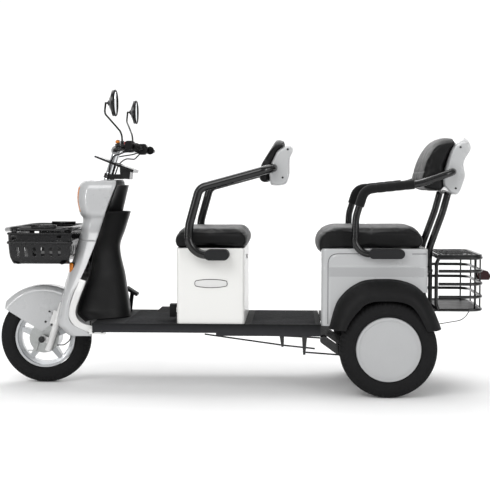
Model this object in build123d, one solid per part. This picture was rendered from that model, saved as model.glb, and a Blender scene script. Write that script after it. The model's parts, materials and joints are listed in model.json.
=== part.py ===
from build123d import *
import math
import os

# Electric passenger tricycle: one steered front wheel, two rear wheels, two seats in line.
# Lengths in mm. While a piece is made, X runs rearwards from the front axle, Y to the right-hand
# side and Z up from the ground. At the end everything moves so that X=0 is mid-length.

# ---- driving dimensions -------------------------------------------------------------------------
WHEELBASE = 1500.0
REAR_OVERHANG = 465.0
WHEEL_R = 203.0
TYRE_W = 80.0
RIM_R = 137.0
RIM_W = 58.0
TRACK = 578.0

RAKE = 18.0
TRAIL = 12.0
STANCHION_R = 11.0
SLIDER_R = 14.5
LEG_GAP = 140.0
LEG_SETBACK = -14.0
STEERER_R = 14.0
HEAD_R = 20.0
HEAD_LOW = 515.0
HEAD_HIGH = 815.0
BAR_HEIGHT = 1086.0
BAR_R = 11.0
GRIP_R = 16.0
GRIP_LEN = 118.0
BAR_SPAN = 640.0

FLOOR_Z = 297.0
FLOOR_HALF = 249.0
FLOOR_START = 254.0
FLOOR_END = 1221.0
SKIRT = 38.0
RAIL_Y = 150.0
RAIL_SIZE = 30.0

SEAT_Z = 617.0
BOX_FRONT = 613.0
BOX_REAR = 900.0
BOX_HALF = 240.0
CUSHION_HALF = 245.0
CUSHION_T = 92.0
PAD_HALF = 218.0
FRONT_ARM_Y = 285.0
FRONT_ARM_R = 18.0

BODY_FRONT = 1223.0
BODY_REAR = 1668.0
BODY_HALF = 250.0
REAR_CUSHION_HALF = 240.0
REAR_CUSHION_T = 99.0
REAR_ARM_Y = 268.0
REAR_ARM_R = 15.0
POST_Y = 124.0
POST_R = 15.0
FLARE_HALF = 345.0

CAGE_FRONT = 1700.0
CAGE_REAR = 1912.0
CAGE_HALF = 200.0
CAGE_LOW = 356.0
CAGE_HIGH = 575.0

WALL = 3.0
RUN_CLEAR = 0.05
SEAT_CLEAR = 0.3

# ---- places that follow from them ---------------------------------------------------------------
REAR_X = WHEELBASE
REAR_Y = TRACK / 2
MIDDLE = (WHEELBASE + REAR_OVERHANG - WHEEL_R) / 2
TO_FRAME = Location((-MIDDLE, 0, 0))
STEER = Location((-TRAIL, 0, 0), (0, RAKE, 0))
SIN_RAKE = math.sin(math.radians(RAKE))
COS_RAKE = math.cos(math.radians(RAKE))
AXLE_LX = TRAIL * COS_RAKE - WHEEL_R * SIN_RAKE
AXLE_LZ = TRAIL * SIN_RAKE + WHEEL_R * COS_RAKE
LEG_Y = LEG_GAP / 2


def steer_x(z):
    """X of the steering axis at height z."""
    return -TRAIL + z * math.tan(math.radians(RAKE))


def rod_y(x, z, radius, y0, y1):
    """Round bar along Y."""
    return Pos(x, (y0 + y1) / 2, z) * Rot(90, 0, 0) * Cylinder(radius, abs(y1 - y0))


def rod_x(y, z, radius, x0, x1):
    """Round bar along X."""
    return Pos((x0 + x1) / 2, y, z) * Rot(0, 90, 0) * Cylinder(radius, abs(x1 - x0))


def block(x0, x1, y0, y1, z0, z1):
    """Box between two corners."""
    return Pos((x0 + x1) / 2, (y0 + y1) / 2, (z0 + z1) / 2) * Box(abs(x1 - x0), abs(y1 - y0), abs(z1 - z0))


def strut(a, b, radius):
    """Round bar from point a to point b."""
    start = Vector(a)
    way = Vector(b) - start
    return Plane(origin=start + way * 0.5, z_dir=way) * Cylinder(radius, way.length)


def bent_tube(points, radii, radius, wall=None):
    """Tube along straight runs joined by tangent arcs, hollow where a wall is given."""
    path = FilletPolyline(*points, radius=radii) if radii else Polyline(*points)
    section = Circle(radius)
    if wall:
        section = section - Circle(radius - wall)
    return sweep(Plane(origin=path @ 0, z_dir=path % 0) * section, path=path)


def side_plate(points, y0, y1, radii=None):
    """Plate cut from a side outline of (x, z) points, between y0 and y1."""
    if radii:
        outline = FilletPolyline(*points, radius=radii, close=True)
    else:
        outline = Polyline(*points, close=True)
    plate = extrude(Plane.XZ * make_face(outline), y1 - y0, dir=(0, 1, 0))
    return Pos(0, y0, 0) * plate


def both_sides(piece):
    """A piece and its mirror image on the other side."""
    return [piece, mirror(piece, about=Plane.XZ)]


# ---- wheels -------------------------------------------------------------------------------------
TYRE_HALF = TYRE_W / 2
TREAD_R = WHEEL_R - TYRE_HALF
BEAD_R = RIM_R - 9.0
BEAD_Y = RIM_W / 2 - 3.3


def tyre(x, y):
    """Open-bellied tyre section turned about the wheel axis."""
    carcass = 9.0
    outer = ThreePointArc((-TYRE_HALF, TREAD_R), (0, WHEEL_R), (TYRE_HALF, TREAD_R))
    right = Polyline((TYRE_HALF, TREAD_R), (BEAD_Y, RIM_R - 1), (BEAD_Y, BEAD_R))
    foot_r = Line((BEAD_Y, BEAD_R), (BEAD_Y - carcass, BEAD_R))
    inner_r = Line((BEAD_Y - carcass, BEAD_R), (TYRE_HALF - carcass, TREAD_R))
    inner = ThreePointArc((TYRE_HALF - carcass, TREAD_R), (0, WHEEL_R - carcass), (carcass - TYRE_HALF, TREAD_R))
    inner_l = Line((carcass - TYRE_HALF, TREAD_R), (carcass - BEAD_Y, BEAD_R))
    foot_l = Line((carcass - BEAD_Y, BEAD_R), (-BEAD_Y, BEAD_R))
    left = Polyline((-BEAD_Y, BEAD_R), (-BEAD_Y, RIM_R - 1), (-TYRE_HALF, TREAD_R))
    section = make_face([outer, right, foot_r, inner_r, inner, inner_l, foot_l, left])
    turned = revolve(section, axis=Axis.X)
    return Pos(x, y, WHEEL_R) * Rot(0, 0, 90) * turned


def rim_barrel():
    """Drop-centre rim, axis along Z, middle at the origin."""
    half = RIM_W / 2
    drop = 14.0
    seat = BEAD_R - SEAT_CLEAR
    flange = 3.0
    points = [
        (RIM_R - 3, half), (RIM_R - 3, half - flange), (seat, half - flange), (seat, half / 3 + 4),
        (seat - drop, half / 3), (seat - drop, -half / 3), (seat, -half / 3 - 4), (seat, flange - half),
        (RIM_R - 3, flange - half), (RIM_R - 3, -half), (seat - 4, -half), (seat - 4, -half / 3 - 7),
        (seat - drop - 4, -half / 3 - 2), (seat - drop - 4, half / 3 + 2), (seat - 4, half / 3 + 7), (seat - 4, half),
    ]
    return revolve(Plane.XZ * make_face(Polyline(*points, close=True)), axis=Axis.Z)


HUB_R = 66.0
HUB_HALF = 44.0
AXLE_R = 6.0
SPOKES = 5


def front_rim():
    """Alloy rim with five spokes and the brake drum cast in its hub."""
    spoke = loft([
        Plane(origin=(HUB_R - 6, 0, 0), z_dir=(1, 0, 0)) * Rectangle(46, 26),
        Plane(origin=(BEAD_R - 14, 0, 0), z_dir=(1, 0, 0)) * Rectangle(30, 20),
    ])
    spokes = [Rot(0, 0, 360 / SPOKES * i + 18) * spoke for i in range(SPOKES)]
    hub = Cylinder(HUB_R, 2 * HUB_HALF) - Pos(0, 0, HUB_HALF - 14) * Cylinder(HUB_R - 6, 30)
    wheel = rim_barrel() + spokes + hub
    wheel = wheel - Cylinder(AXLE_R + RUN_CLEAR, 4 * HUB_HALF)
    return Pos(0, 0, WHEEL_R) * Rot(90, 0, 0) * wheel


def rear_rim(side):
    """Pressed steel wheel, disc cover and drive stub."""
    web = Cylinder(BEAD_R - 15, 6)
    web = Pos(0, 0, 12) * web
    stub = Pos(0, 0, -46) * Cylinder(STUB_R, 130)
    nut = Pos(0, 0, 21) * Cylinder(17, 14)
    cover = Pos(0, 0, RIM_W / 2 + 1.5) * Cylinder(DISC_R, 3)
    dome = Pos(0, 0, RIM_W / 2 + 4.5) * Cylinder(DISC_R - 12, 3)
    clip = Pos(0, 0, 25) * (Cylinder(60, 20) - Cylinder(56, 22))
    wheel = rim_barrel() + web + stub + nut + cover + dome + clip
    turn = -90 if side > 0 else 90
    return Pos(REAR_X, side * REAR_Y, WHEEL_R) * Rot(turn, 0, 0) * wheel


STUB_R = 12.0
DISC_R = 131.0


# ---- fork ---------------------------------------------------------------------------------------
SLIDER_LOW = 154.0
SLIDER_TOP = 379.0
CROWN_Z = 470.0
FORK_TRAVEL = 50.0
LUG_T = 11.0


def fork_sliders():
    """Two lower legs, bored for the stanchions, with forward lugs that clamp the axle."""
    legs = []
    for side in (-1, 1):
        y = side * LEG_Y
        mid = (SLIDER_LOW + SLIDER_TOP) / 2
        leg = Pos(LEG_SETBACK, y, mid) * Cylinder(SLIDER_R, SLIDER_TOP - SLIDER_LOW)
        lug = Pos((AXLE_LX + LEG_SETBACK) / 2, y, AXLE_LZ) * Box(abs(AXLE_LX - LEG_SETBACK), LUG_T, 26)
        eye = Pos(AXLE_LX, y, AXLE_LZ) * Rot(90, 0, 0) * Cylinder(15, LUG_T)
        tab = Pos(LEG_SETBACK - SLIDER_R - 6, y, SLIDER_LOW + 150) * Box(18, 6, 60)
        leg = leg + lug + eye + tab
        bore_low = SLIDER_LOW + 16
        bore_top = SLIDER_TOP + 2
        bore = Pos(LEG_SETBACK, y, (bore_low + bore_top) / 2) * Cylinder(STANCHION_R + RUN_CLEAR, bore_top - bore_low)
        hole = Pos(AXLE_LX, y, AXLE_LZ) * Rot(90, 0, 0) * Cylinder(AXLE_R + RUN_CLEAR, LUG_T + 4)
        legs.append(STEER * (leg - bore - hole))
    return legs


def fork_upper():
    """Steerer tube, crown and the two stanchions, brazed together."""
    steerer = Pos(0, 0, (CROWN_Z + BAR_HEIGHT - 40) / 2) * Cylinder(STEERER_R, BAR_HEIGHT - 40 - CROWN_Z)
    bridge = Pos(LEG_SETBACK / 2, 0, CROWN_Z) * Box(34, LEG_GAP, 24)
    upper = steerer + bridge
    bottom = SLIDER_LOW + 16 + FORK_TRAVEL + 6
    for side in (-1, 1):
        upper = upper + Pos(LEG_SETBACK, side * LEG_Y, CROWN_Z) * Cylinder(18, 28)
        upper = upper + Pos(LEG_SETBACK, side * LEG_Y, (bottom + CROWN_Z) / 2) * Cylinder(STANCHION_R, CROWN_Z - bottom)
    return STEER * upper


def front_axle():
    """Axle with nuts, spacers and the brake plate that stays still beside the drum."""
    shaft = rod_y(0, WHEEL_R, AXLE_R, -LEG_Y - 20, LEG_Y + 20)
    nuts = []
    for side in (-1, 1):
        face = LEG_Y + LUG_T / 2
        nuts.append(rod_y(0, WHEEL_R, 12, side * face, side * (face + 10)))
        inner = LEG_Y - LUG_T / 2
        nuts.append(rod_y(0, WHEEL_R, 10, side * (HUB_HALF + 8), side * inner))
    plate = rod_y(0, WHEEL_R, HUB_R - 1, -HUB_HALF - 8, -HUB_HALF - SEAT_CLEAR)
    stop = block(46, 57, -HUB_HALF - 12, -HUB_HALF - 2, 165, 179)
    arm_pin = rod_y(ARM_X, ARM_Z, 4, -HUB_HALF - 8, -HUB_HALF - 20)
    return shaft + nuts + plate + stop + arm_pin


ARM_X = -28.0
ARM_Z = 176.0
ARM_Y = -HUB_HALF - 12.0


def front_brake_arm():
    """Cam lever on the brake plate, pulled by the cable."""
    arm = side_plate([(ARM_X - 9, ARM_Z + 8), (ARM_X + 9, ARM_Z + 8), (ARM_X - 8, ARM_Z - 34), (ARM_X - 22, ARM_Z - 30)],
                     ARM_Y - 3, ARM_Y + 3, radii=3)
    rod = rod_x(ARM_Y, ARM_Z - 27, 2.5, ARM_X - 44, ARM_X - 4)
    return arm + rod - rod_y(ARM_X, ARM_Z, 4 + RUN_CLEAR, ARM_Y - 12, ARM_Y + 12)


FENDER_R = 236.0
FENDER_HALF = 56.0


def front_fender():
    """Deep mudguard over the front half of the tyre, carried by the sliders."""
    rear_edge = [(-175, 480), (110, 480), (104, 425), (35, 268), (-6, 232), (-91, 283), (-172, 333)]
    outline = side_plate(rear_edge, -FENDER_HALF, FENDER_HALF)
    drum = Pos(-2, 0, WHEEL_R) * Rot(90, 0, 0) * Cylinder(FENDER_R, 2 * FENDER_HALF)
    drum = fillet(drum.edges().filter_by(GeomType.CIRCLE), 34)
    core = Pos(-2, 0, WHEEL_R) * Rot(90, 0, 0) * Cylinder(FENDER_R - WALL, 2 * (FENDER_HALF - WALL))
    core = fillet(core.edges().filter_by(GeomType.CIRCLE), 32)
    shell = (drum - core) & outline
    tabs = []
    for side in (-1, 1):
        tabs.append(block(24, 40, side * (FENDER_HALF - 4), side * (LEG_Y - 3.2), 300, 320))
    return shell + tabs


# ---- cockpit ------------------------------------------------------------------------------------
BAR_Z = 1042.0
CLAMP = Vector(steer_x(1034.0), 0, 1034.0)
POD_Y = 186.0


def bar_points():
    """Corners of the handlebar from the left end to the right end."""
    right = [(CLAMP.X, 70, CLAMP.Z), (404, 165, BAR_Z + 6), (GRIP_START.X, GRIP_START.Y, GRIP_START.Z),
             (GRIP_END.X, GRIP_END.Y, GRIP_END.Z)]
    left = [(x, -y, z) for x, y, z in reversed(right)]
    return left + right


GRIP_START = Vector(424, 200, BAR_Z + 3)
GRIP_END = Vector(442, BAR_SPAN / 2, BAR_Z - 1)


def handlebar():
    """One tube, swept back from the clamp to the grips."""
    points = bar_points()
    return bent_tube(points, [40, 40, 40, 40, 40, 40], BAR_R, 2)


def grip(side, start, end, bore):
    """Rubber grip over the bar end with a closed cap."""
    a = Vector(GRIP_START.X, side * GRIP_START.Y, GRIP_START.Z)
    b = Vector(GRIP_END.X, side * GRIP_END.Y, GRIP_END.Z)
    way = b - a
    first = a + way * start
    last = a + way * end
    body = strut(tuple(first), tuple(last), GRIP_R)
    hole = strut(tuple(a), tuple(b + way * 0.004), bore)
    return body - hole


def switch_pods():
    """Clamp-on switch housings beside the grips, and two knobs on posts by the clamp."""
    bar = bent_tube(bar_points(), [40] * 6, BAR_R + RUN_CLEAR)
    pods = []
    for side in (-1, 1):
        pod = Pos(412, side * POD_Y, BAR_Z + 3) * Box(42, 34, 50)
        pod = fillet(pod.edges().filter_by(Axis.Y), 12)
        pods.append(pod - bar)
        post = strut((350, side * 96, BAR_Z), (344, side * 96, BAR_Z + 34), 8)
        pods.append(post - bar)
    return pods


LEVER_PIVOT_X = 381.0
LEVER_PIVOT_Y = 188.0


def brake_lever(side):
    """Blade lever in front of the grip, on an upright pin."""
    root = Pos(LEVER_PIVOT_X, side * LEVER_PIVOT_Y, BAR_Z) * (Cylinder(8, 9) - Cylinder(3.0 + RUN_CLEAR, 12))
    blade = bent_tube([(LEVER_PIVOT_X - 6, side * (LEVER_PIVOT_Y + 2), BAR_Z), (LEVER_PIVOT_X - 8, side * 230, BAR_Z),
                       (LEVER_PIVOT_X + 8, side * 322, BAR_Z - 2)], [60], 4)
    hole = Pos(LEVER_PIVOT_X, side * LEVER_PIVOT_Y, BAR_Z) * Cylinder(3.0 + RUN_CLEAR, 14)
    return root + blade - hole


def lever_brackets():
    """Perch with the pivot pin for each lever, part of the switch housings."""
    perches = []
    for side in (-1, 1):
        pin = Pos(LEVER_PIVOT_X, side * LEVER_PIVOT_Y, BAR_Z + 1) * Cylinder(3.0, 24)
        top = block(LEVER_PIVOT_X - 8, 400, side * (LEVER_PIVOT_Y - 8), side * (LEVER_PIVOT_Y + 8), BAR_Z + 5, BAR_Z + 11)
        low = block(LEVER_PIVOT_X - 8, 400, side * (LEVER_PIVOT_Y - 8), side * (LEVER_PIVOT_Y + 8), BAR_Z - 11, BAR_Z - 5)
        perches.append(pin + top + low)
    return perches


def handlebar_stem():
    """Sleeve over the steerer with the split clamp that holds the bar."""
    low = 905.0
    sleeve = STEER * (Pos(0, 0, (low + BAR_HEIGHT - 14) / 2) * Cylinder(SLEEVE_R, BAR_HEIGHT - 14 - low))
    sleeve = sleeve - STEER * (Pos(0, 0, (low + BAR_HEIGHT - 40) / 2 - 5) * Cylinder(STEERER_R + RUN_CLEAR, BAR_HEIGHT - 30 - low))
    clamp = rod_y(CLAMP.X, CLAMP.Z, 20, -32, 32)
    return sleeve + clamp - rod_y(CLAMP.X, CLAMP.Z, BAR_R + RUN_CLEAR, -40, 40)


MIRROR_Y = 292.0
MIRROR_Z = 1222.0
MIRROR_R = 54.0
BALL_X = 337.0
BALL_R = 6.0
STEM_R = 4.0


def mirror_stems():
    """Two bent rods from the bar up to the mirror balls."""
    stems = []
    for side in (-1, 1):
        foot = Pos(372, side * 150, BAR_Z + 20) * Cylinder(8, 18)
        rod = bent_tube([(372, side * 150, BAR_Z + 14), (371, side * 151, 1105), (322, side * MIRROR_Y, 1180),
                         (327, side * MIRROR_Y, MIRROR_Z)], [45, 22], STEM_R)
        knuckle = Pos(327, side * MIRROR_Y, MIRROR_Z) * Sphere(STEM_R + 0.5)
        neck = rod_x(side * MIRROR_Y, MIRROR_Z, STEM_R, 327, BALL_X)
        ball = Pos(BALL_X, side * MIRROR_Y, MIRROR_Z) * Sphere(BALL_R)
        stems.append(rod + foot + knuckle + neck + ball)
    return stems


def mirror_head(side):
    """Round shell that turns on the ball, with its glass facing the rider."""
    ball_z = -26.0
    mouth = ball_z + 1
    cup = BALL_R + RUN_CLEAR
    rim = math.sqrt(cup ** 2 - 1)
    socket = ThreePointArc((0, ball_z + cup), (cup * SIN_45, ball_z + cup * SIN_45), (rim, mouth))
    outline = Polyline((rim, mouth), (11, mouth), (11, -18), (MIRROR_R - 30, -18), (MIRROR_R - 4, -6), (MIRROR_R, -6),
                       (MIRROR_R, 6), (MIRROR_R - 4, 6), (MIRROR_R - 4, 3), (0, 3), (0, ball_z + cup))
    shell = revolve(Plane.XZ * make_face([socket, outline]), axis=Axis.Z)
    glass = Pos(0, 0, 4.5) * Cylinder(MIRROR_R - 4, 3)
    place = Location((BALL_X - ball_z, side * MIRROR_Y, MIRROR_Z), (0, 90, 0))
    return [place * shell, place * glass]


SIN_45 = math.sqrt(0.5)
SLEEVE_R = 18.0
DASH_HALF = 78.0


def dash_panel():
    """Instrument plate that slopes towards the rider, with its box behind the stem."""
    plate = side_plate([(236, 1004), (240, 1010), (410, 948), (405, 936)], -DASH_HALF, DASH_HALF)
    plate = plate - block(286, 350, -48, 48, 930, 1020)
    housing = side_plate([(345, 911), (386, 907), (390, 944), (343, 962)], -46, 46)
    arms = [block(280, 352, y - 3, y + 3, 908, 930) for y in (-17, 17)]
    bridge = block(330, 346, -20, 20, 908, 930)
    collar = STEER * (Pos(0, 0, 968) * Cylinder(22, 20))
    return plate + housing + bridge + arms + collar - STEER * (Pos(0, 0, 1000) * Cylinder(SLEEVE_R + RUN_CLEAR, 300))


CABLE_R = 3.0


def control_cables():
    """Cables from both levers and the throttle, gathered beside the stem into the cowl."""
    cables = []
    for side in (-1, 1):
        cables.append(bent_tube([(392, side * 165.7, BAR_Z - 14), (372, side * 140, BAR_Z - 22),
                                 (318, side * 62, BAR_Z - 34), (296, side * 29, 968), (287, side * 26, 900),
                                 (270, side * 24, 845)], [30, 40, 50, 200], CABLE_R))
    cables.append(bent_tube([(402, 166.5, BAR_Z - 18), (384, 120, BAR_Z - 44), (352, 60, BAR_Z - 42), (326, 34, 975),
                             (300, 28, 900), (286, 27, 850)], [40, 60, 50, 200], CABLE_R))
    return cables


def headset_bearings():
    """Upper and lower bearing races between head tube and steerer."""
    races = []
    for z in (HEAD_LOW - 5, HEAD_HIGH + 5):
        races.append(STEER * (Pos(0, 0, z) * (Cylinder(HEAD_R + 2, 10) - Cylinder(STEERER_R + RUN_CLEAR, 12))))
    return races


# ---- frame --------------------------------------------------------------------------------------
BOARD_T = 5.0
RAIL_TOP = FLOOR_Z - BOARD_T - SEAT_CLEAR
RAIL_LOW = RAIL_TOP - RAIL_SIZE


CROSS_X = (440.0, 756.0, 1055.0, 1156.0)
CROSS_W = 26.0
DOWN_R = 19.0
DOWN_SLOT = (262.0, 372.0)


def head_tube():
    """Head tube with the down tube that joins the floor frame."""
    head = STEER * (Pos(0, 0, (HEAD_LOW + HEAD_HIGH) / 2) * Cylinder(HEAD_R, HEAD_HIGH - HEAD_LOW))
    knee_z = RAIL_TOP - 15
    down = bent_tube([(steer_x(640), 0, 640), (276, 0, 470), (282, 0, 340), (352, 0, knee_z)], [120, 50], DOWN_R)
    down = down + strut((340, 0, knee_z), (CROSS_X[0] - CROSS_W / 2, 0, knee_z), 14)
    gusset = side_plate([(steer_x(600) + 10, 600), (280, 470), (250, 500), (steer_x(560) + 10, 560)], -4, 4)
    bore = STEER * (Pos(0, 0, (HEAD_LOW + HEAD_HIGH) / 2) * Cylinder(STEERER_R + 2.5, HEAD_HIGH - HEAD_LOW + 4))
    return head + down + gusset - bore


def frame_rails():
    """Two box rails under the floor board."""
    rail = block(300, 1262, RAIL_Y - RAIL_SIZE / 2, RAIL_Y + RAIL_SIZE / 2, RAIL_LOW, RAIL_TOP)
    bolt = block(262, 300, RAIL_Y - 12, RAIL_Y + 12, RAIL_LOW + 6, RAIL_LOW + 14)
    ear = block(PIVOT_X - 14, PIVOT_X + 14, RAIL_Y + 10, ARM_SIDE - 14, PIVOT_Z - 12, RAIL_TOP)
    pin = rod_y(PIVOT_X, PIVOT_Z, PIVOT_R, RAIL_Y + 16, ARM_SIDE + 16)
    return both_sides(rail + bolt + ear + pin)


LUG_Y = -131.0
ROD_R = 3.5


def frame_crossmembers():
    """Cross tubes between the rails, two of them with hangers for the brake rods."""
    inner = RAIL_Y - RAIL_SIZE / 2
    members = []
    for x in CROSS_X:
        members.append(block(x - CROSS_W / 2, x + CROSS_W / 2, -inner, inner, RAIL_LOW + 2, RAIL_TOP - 2))
    lug = side_plate([(1041, RAIL_LOW + 4), (1068, RAIL_LOW + 4), (1066, 186), (1056, 182)], LUG_Y - 3, LUG_Y + 3)
    long_lug = side_plate([(1141, RAIL_LOW + 4), (1170, RAIL_LOW + 4), (1159, 150), (1149, 150)], LUG_Y - 3, LUG_Y + 3)
    members[2] = members[2] + lug
    members[3] = members[3] + long_lug
    return members


SUB_Y = 170.0
SUB_R = 14.0
SUB_REAR = 1686.0
SUB_Z = 520.0
CROSS_R = 11.0
SHELF_T = 10.0


def rear_subframe():
    """Bent side tubes that rise behind the floor and carry body, dampers, posts and basket."""
    parts = []
    low = CAGE_LOW - 2 - SEAT_CLEAR
    for side in (-1, 1):
        parts.append(bent_tube([(1262, side * RAIL_Y, RAIL_TOP - 15), (1300, side * RAIL_Y, RAIL_TOP - 15),
                                (1370, side * SUB_Y, 470), (1500, side * SUB_Y, SUB_Z), (SUB_REAR, side * SUB_Y, SUB_Z)],
                               [30, 60, 60], SUB_R))
        parts.append(strut((SUB_REAR, side * SUB_Y, SUB_Z), (SUB_REAR, side * SUB_Y, low - SHELF_T), 9))
        parts.append(Pos(REAR_X, side * SUB_Y, 500) * Cylinder(20, 36))
    for x, z in ((SUB_REAR, SUB_Z), (REAR_X, SUB_Z), (SUB_REAR, low - SHELF_T / 2), (1370, 470)):
        parts.append(rod_y(x, z, CROSS_R, -SUB_Y, SUB_Y))
    parts.append(block(SUB_REAR, 1802, -150, 150, low - SHELF_T, low))
    parts = parts + backrest_posts()
    frame = parts[0]
    for part in parts[1:]:
        frame = frame + part
    return frame


def backrest_posts():
    """Two posts behind the rear body that carry the rear backrest."""
    posts = []
    foot = SUB_Z + CROSS_R / 2
    for side in (-1, 1):
        posts.append(bent_tube([(SUB_REAR - 1, side * POST_Y, foot), (SUB_REAR - 1, side * POST_Y, 606),
                                (1742, side * POST_Y, 767), (1764, side * POST_Y, 850)], [150, 300], POST_R, 2))
    return posts


# ---- body panels --------------------------------------------------------------------------------
# Each row gives height, foremost x, x where the front starts to round, x of the open rear edge
# and half-width of one level of the bodywork.
COWL_LEVELS = [
    (640.0, 157.0, 200.0, 252.0, 125.0),
    (690.0, 169.0, 210.0, 268.0, 110.0),
    (738.0, 177.0, 215.0, 284.0, 115.0),
    (755.0, 166.0, 206.0, 290.0, 128.0),
    (819.0, 153.0, 195.0, 314.0, 132.0),
    (882.0, 162.0, 204.0, 338.0, 125.0),
    (903.0, 200.0, 232.0, 336.0, 100.0),
]
SHIELD_LEVELS = [
    (240.0, 112.0, 155.0, 250.0, 230.0),
    (254.0, 98.0, 140.0, 236.0, 230.0),
    (290.0, 70.0, 112.0, 166.0, 230.0),
    (351.0, 85.0, 130.0, 150.0, 228.0),
    (413.0, 98.0, 146.0, 160.0, 222.0),
    (480.0, 112.0, 162.0, 193.0, 200.0),
    (526.0, 125.0, 176.0, 212.0, 175.0),
    (573.0, 140.0, 188.0, 227.0, 150.0),
    (639.5, 157.0, 200.0, 252.0, 125.0),
]
# Each row gives height, x of the side edge, half-width, x of the hump and half-width of the hump.
LEG_LEVELS = [
    (FLOOR_Z + SEAT_CLEAR, 222.0, 224.0, 376.0, 80.0),
    (340.0, 186.0, 224.0, 374.0, 78.0),
    (428.0, 208.0, 216.0, 360.0, 76.0),
    (478.0, 227.0, 200.0, 353.0, 76.0),
    (607.0, 244.0, 137.0, 328.0, 78.0),
    (764.0, 295.0, 122.0, 379.0, 84.0),
]
COLUMN_LEVELS = [
    (764.0, 296.0, 118.0, 342.0, 46.0),
    (882.0, 339.0, 118.0, 372.0, 46.0),
]
ARCH_HALF = 128.0
ARCH_REAR = 220.0
ARCH_TOP = 482.0


def front_level(level, inset=0.0, reach=0.0):
    """Outline of one body level: straight sides and an arched front."""
    z, front, shoulder, rear, half = level
    half = half - inset
    sides = Polyline((shoulder, -half), (rear + reach, -half), (rear + reach, half), (shoulder, half))
    bow = ThreePointArc((shoulder, -half), (front + inset, 0), (shoulder, half))
    return Plane.XY.offset(z) * make_face([sides, bow])


def front_solid(levels):
    """Filled body between levels."""
    return loft([front_level(level) for level in levels], ruled=True)


def front_skin(levels, roofed):
    """Shell between body levels, open at the rear and below."""
    low, top = levels[0], levels[-1]
    inner_levels = [(low[0] - 1.0,) + tuple(low[1:])] + list(levels[1:-1])
    if roofed:
        inner_levels.append((top[0] - WALL, top[1] + WALL, top[2] + WALL, top[3], top[4] - WALL))
    else:
        inner_levels.append((top[0] + 1.0,) + tuple(top[1:]))
    return front_solid(levels) - loft([front_level(level, WALL, 4.0) for level in inner_levels], ruled=True)


LENS_HALF = 84.0
LENS_LOW = 766.0
LENS_HIGH = 874.0


def front_cowl():
    """Painted nacelle with a window for the lamp and a hole for the stem."""
    skin = front_skin(COWL_LEVELS, True)
    stem_hole = STEER * (Pos(0, 0, 940) * Cylinder(42, 120))
    window = block(100, 200, -LENS_HALF - SEAT_CLEAR, LENS_HALF + SEAT_CLEAR, LENS_LOW - SEAT_CLEAR, LENS_HIGH + SEAT_CLEAR)
    return skin - stem_hole - window


def headlight_lens():
    """Bowed lens that fills the cowl's window."""
    skin = front_skin(COWL_LEVELS, True)
    return skin & block(100, 200, -LENS_HALF, LENS_HALF, LENS_LOW, LENS_HIGH)


def front_shield():
    """Painted leg shield with the arch in which the fork turns."""
    low = SHIELD_LEVELS[0][0]
    behind = loft([front_level(level, 0.0, 300.0) for level in SHIELD_LEVELS], ruled=True)
    liner = block(60, ARCH_REAR + WALL, -ARCH_HALF - WALL, ARCH_HALF + WALL, low, ARCH_TOP + WALL)
    arch = block(0, ARCH_REAR, -ARCH_HALF, ARCH_HALF, low - 5, ARCH_TOP)
    pass_hole = STEER * (Pos(0, 0, 500) * Cylinder(34, 60))
    return front_skin(SHIELD_LEVELS, False) + (liner & behind) - arch - pass_hole


TRIM_W = 32.0
TRIM_HEIGHTS = (300.0, 330.0, 351.0, 379.0, 413.0, 445.0, 477.0)


def shield_edge(z):
    """Rear edge x and half-width of the leg shield at height z."""
    for lower, upper in zip(SHIELD_LEVELS, SHIELD_LEVELS[1:]):
        if z <= upper[0]:
            share = (z - lower[0]) / (upper[0] - lower[0])
            return lower[3] + share * (upper[3] - lower[3]), lower[4] + share * (upper[4] - lower[4])
    return SHIELD_LEVELS[-1][3], SHIELD_LEVELS[-1][4]


def shield_trim():
    """Pale band along each side edge of the leg shield."""
    faces = []
    for z in TRIM_HEIGHTS:
        x, half = shield_edge(z)
        faces.append(Plane.XY.offset(z) * (Pos(x + 1 + TRIM_W / 2, half - 2) * Rectangle(TRIM_W, 3)))
    band = loft(faces, ruled=True)
    x, half = shield_edge(TRIM_HEIGHTS[0])
    toe = side_plate([(x + 1, 300.5), (x + 1 + TRIM_W, 300.5), (222, 293), (251, 284), (251, 257), (237, 257), (x + 4, 292)],
                     half - 3.5, half - 0.5)
    return both_sides(band + toe)


def inner_leg_panel():
    """Black panel in front of the rider's knees, with the raised column and the glove pocket."""
    def level(row, inset=0.0, forward=0.0):
        z, edge, half, hump, hump_half = row
        k = inset * 1.3
        points = [(edge - forward, k - half), (hump - inset, inset - hump_half), (hump - inset, hump_half - inset),
                  (edge - forward, half - k)]
        return Plane.XY.offset(z) * make_face(Polyline(*points, close=True))

    def skin(rows, top):
        outer = loft([level(row) for row in rows], ruled=True)
        rows_in = [(rows[0][0] - 1.0,) + tuple(rows[0][1:])] + list(rows[1:-1]) + [(rows[-1][0] + top,) + tuple(rows[-1][1:])]
        return outer - loft([level(row, WALL, 6.0) for row in rows_in], ruled=True)

    legs = skin(LEG_LEVELS, 1.0)
    column = skin(COLUMN_LEVELS, 1.0)
    return legs + column


# ---- front basket -------------------------------------------------------------------------------
BASKET_FRONT = -112.0
BASKET_REAR = 156.0
BASKET_HALF = 200.0
BASKET_LOW = 545.0
BASKET_TOP = 678.0
RING_Z = 697.0
RING_R = 8.0
SLOTS = 6


def basket_plan(grow, z, bow=14.0, hollow=32.0):
    """Plan outline of the basket at one height, bowed at the front and hollowed at the rear."""
    front = BASKET_FRONT - grow
    rear = BASKET_REAR + grow
    half = BASKET_HALF + grow
    near = Line((front, -half), (rear, -half))
    back = ThreePointArc((rear, -half), (rear - hollow, 0), (rear, half))
    far = Line((rear, half), (front, half))
    nose = ThreePointArc((front, half), (front - bow, 0), (front, -half))
    return Plane.XY.offset(z) * make_face([near, back, far, nose])


def basket_outer():
    """Outer volume of the basket tub."""
    return loft([basket_plan(-8, BASKET_LOW), basket_plan(0, BASKET_LOW + 40), basket_plan(3, BASKET_TOP)], ruled=True)


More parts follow.
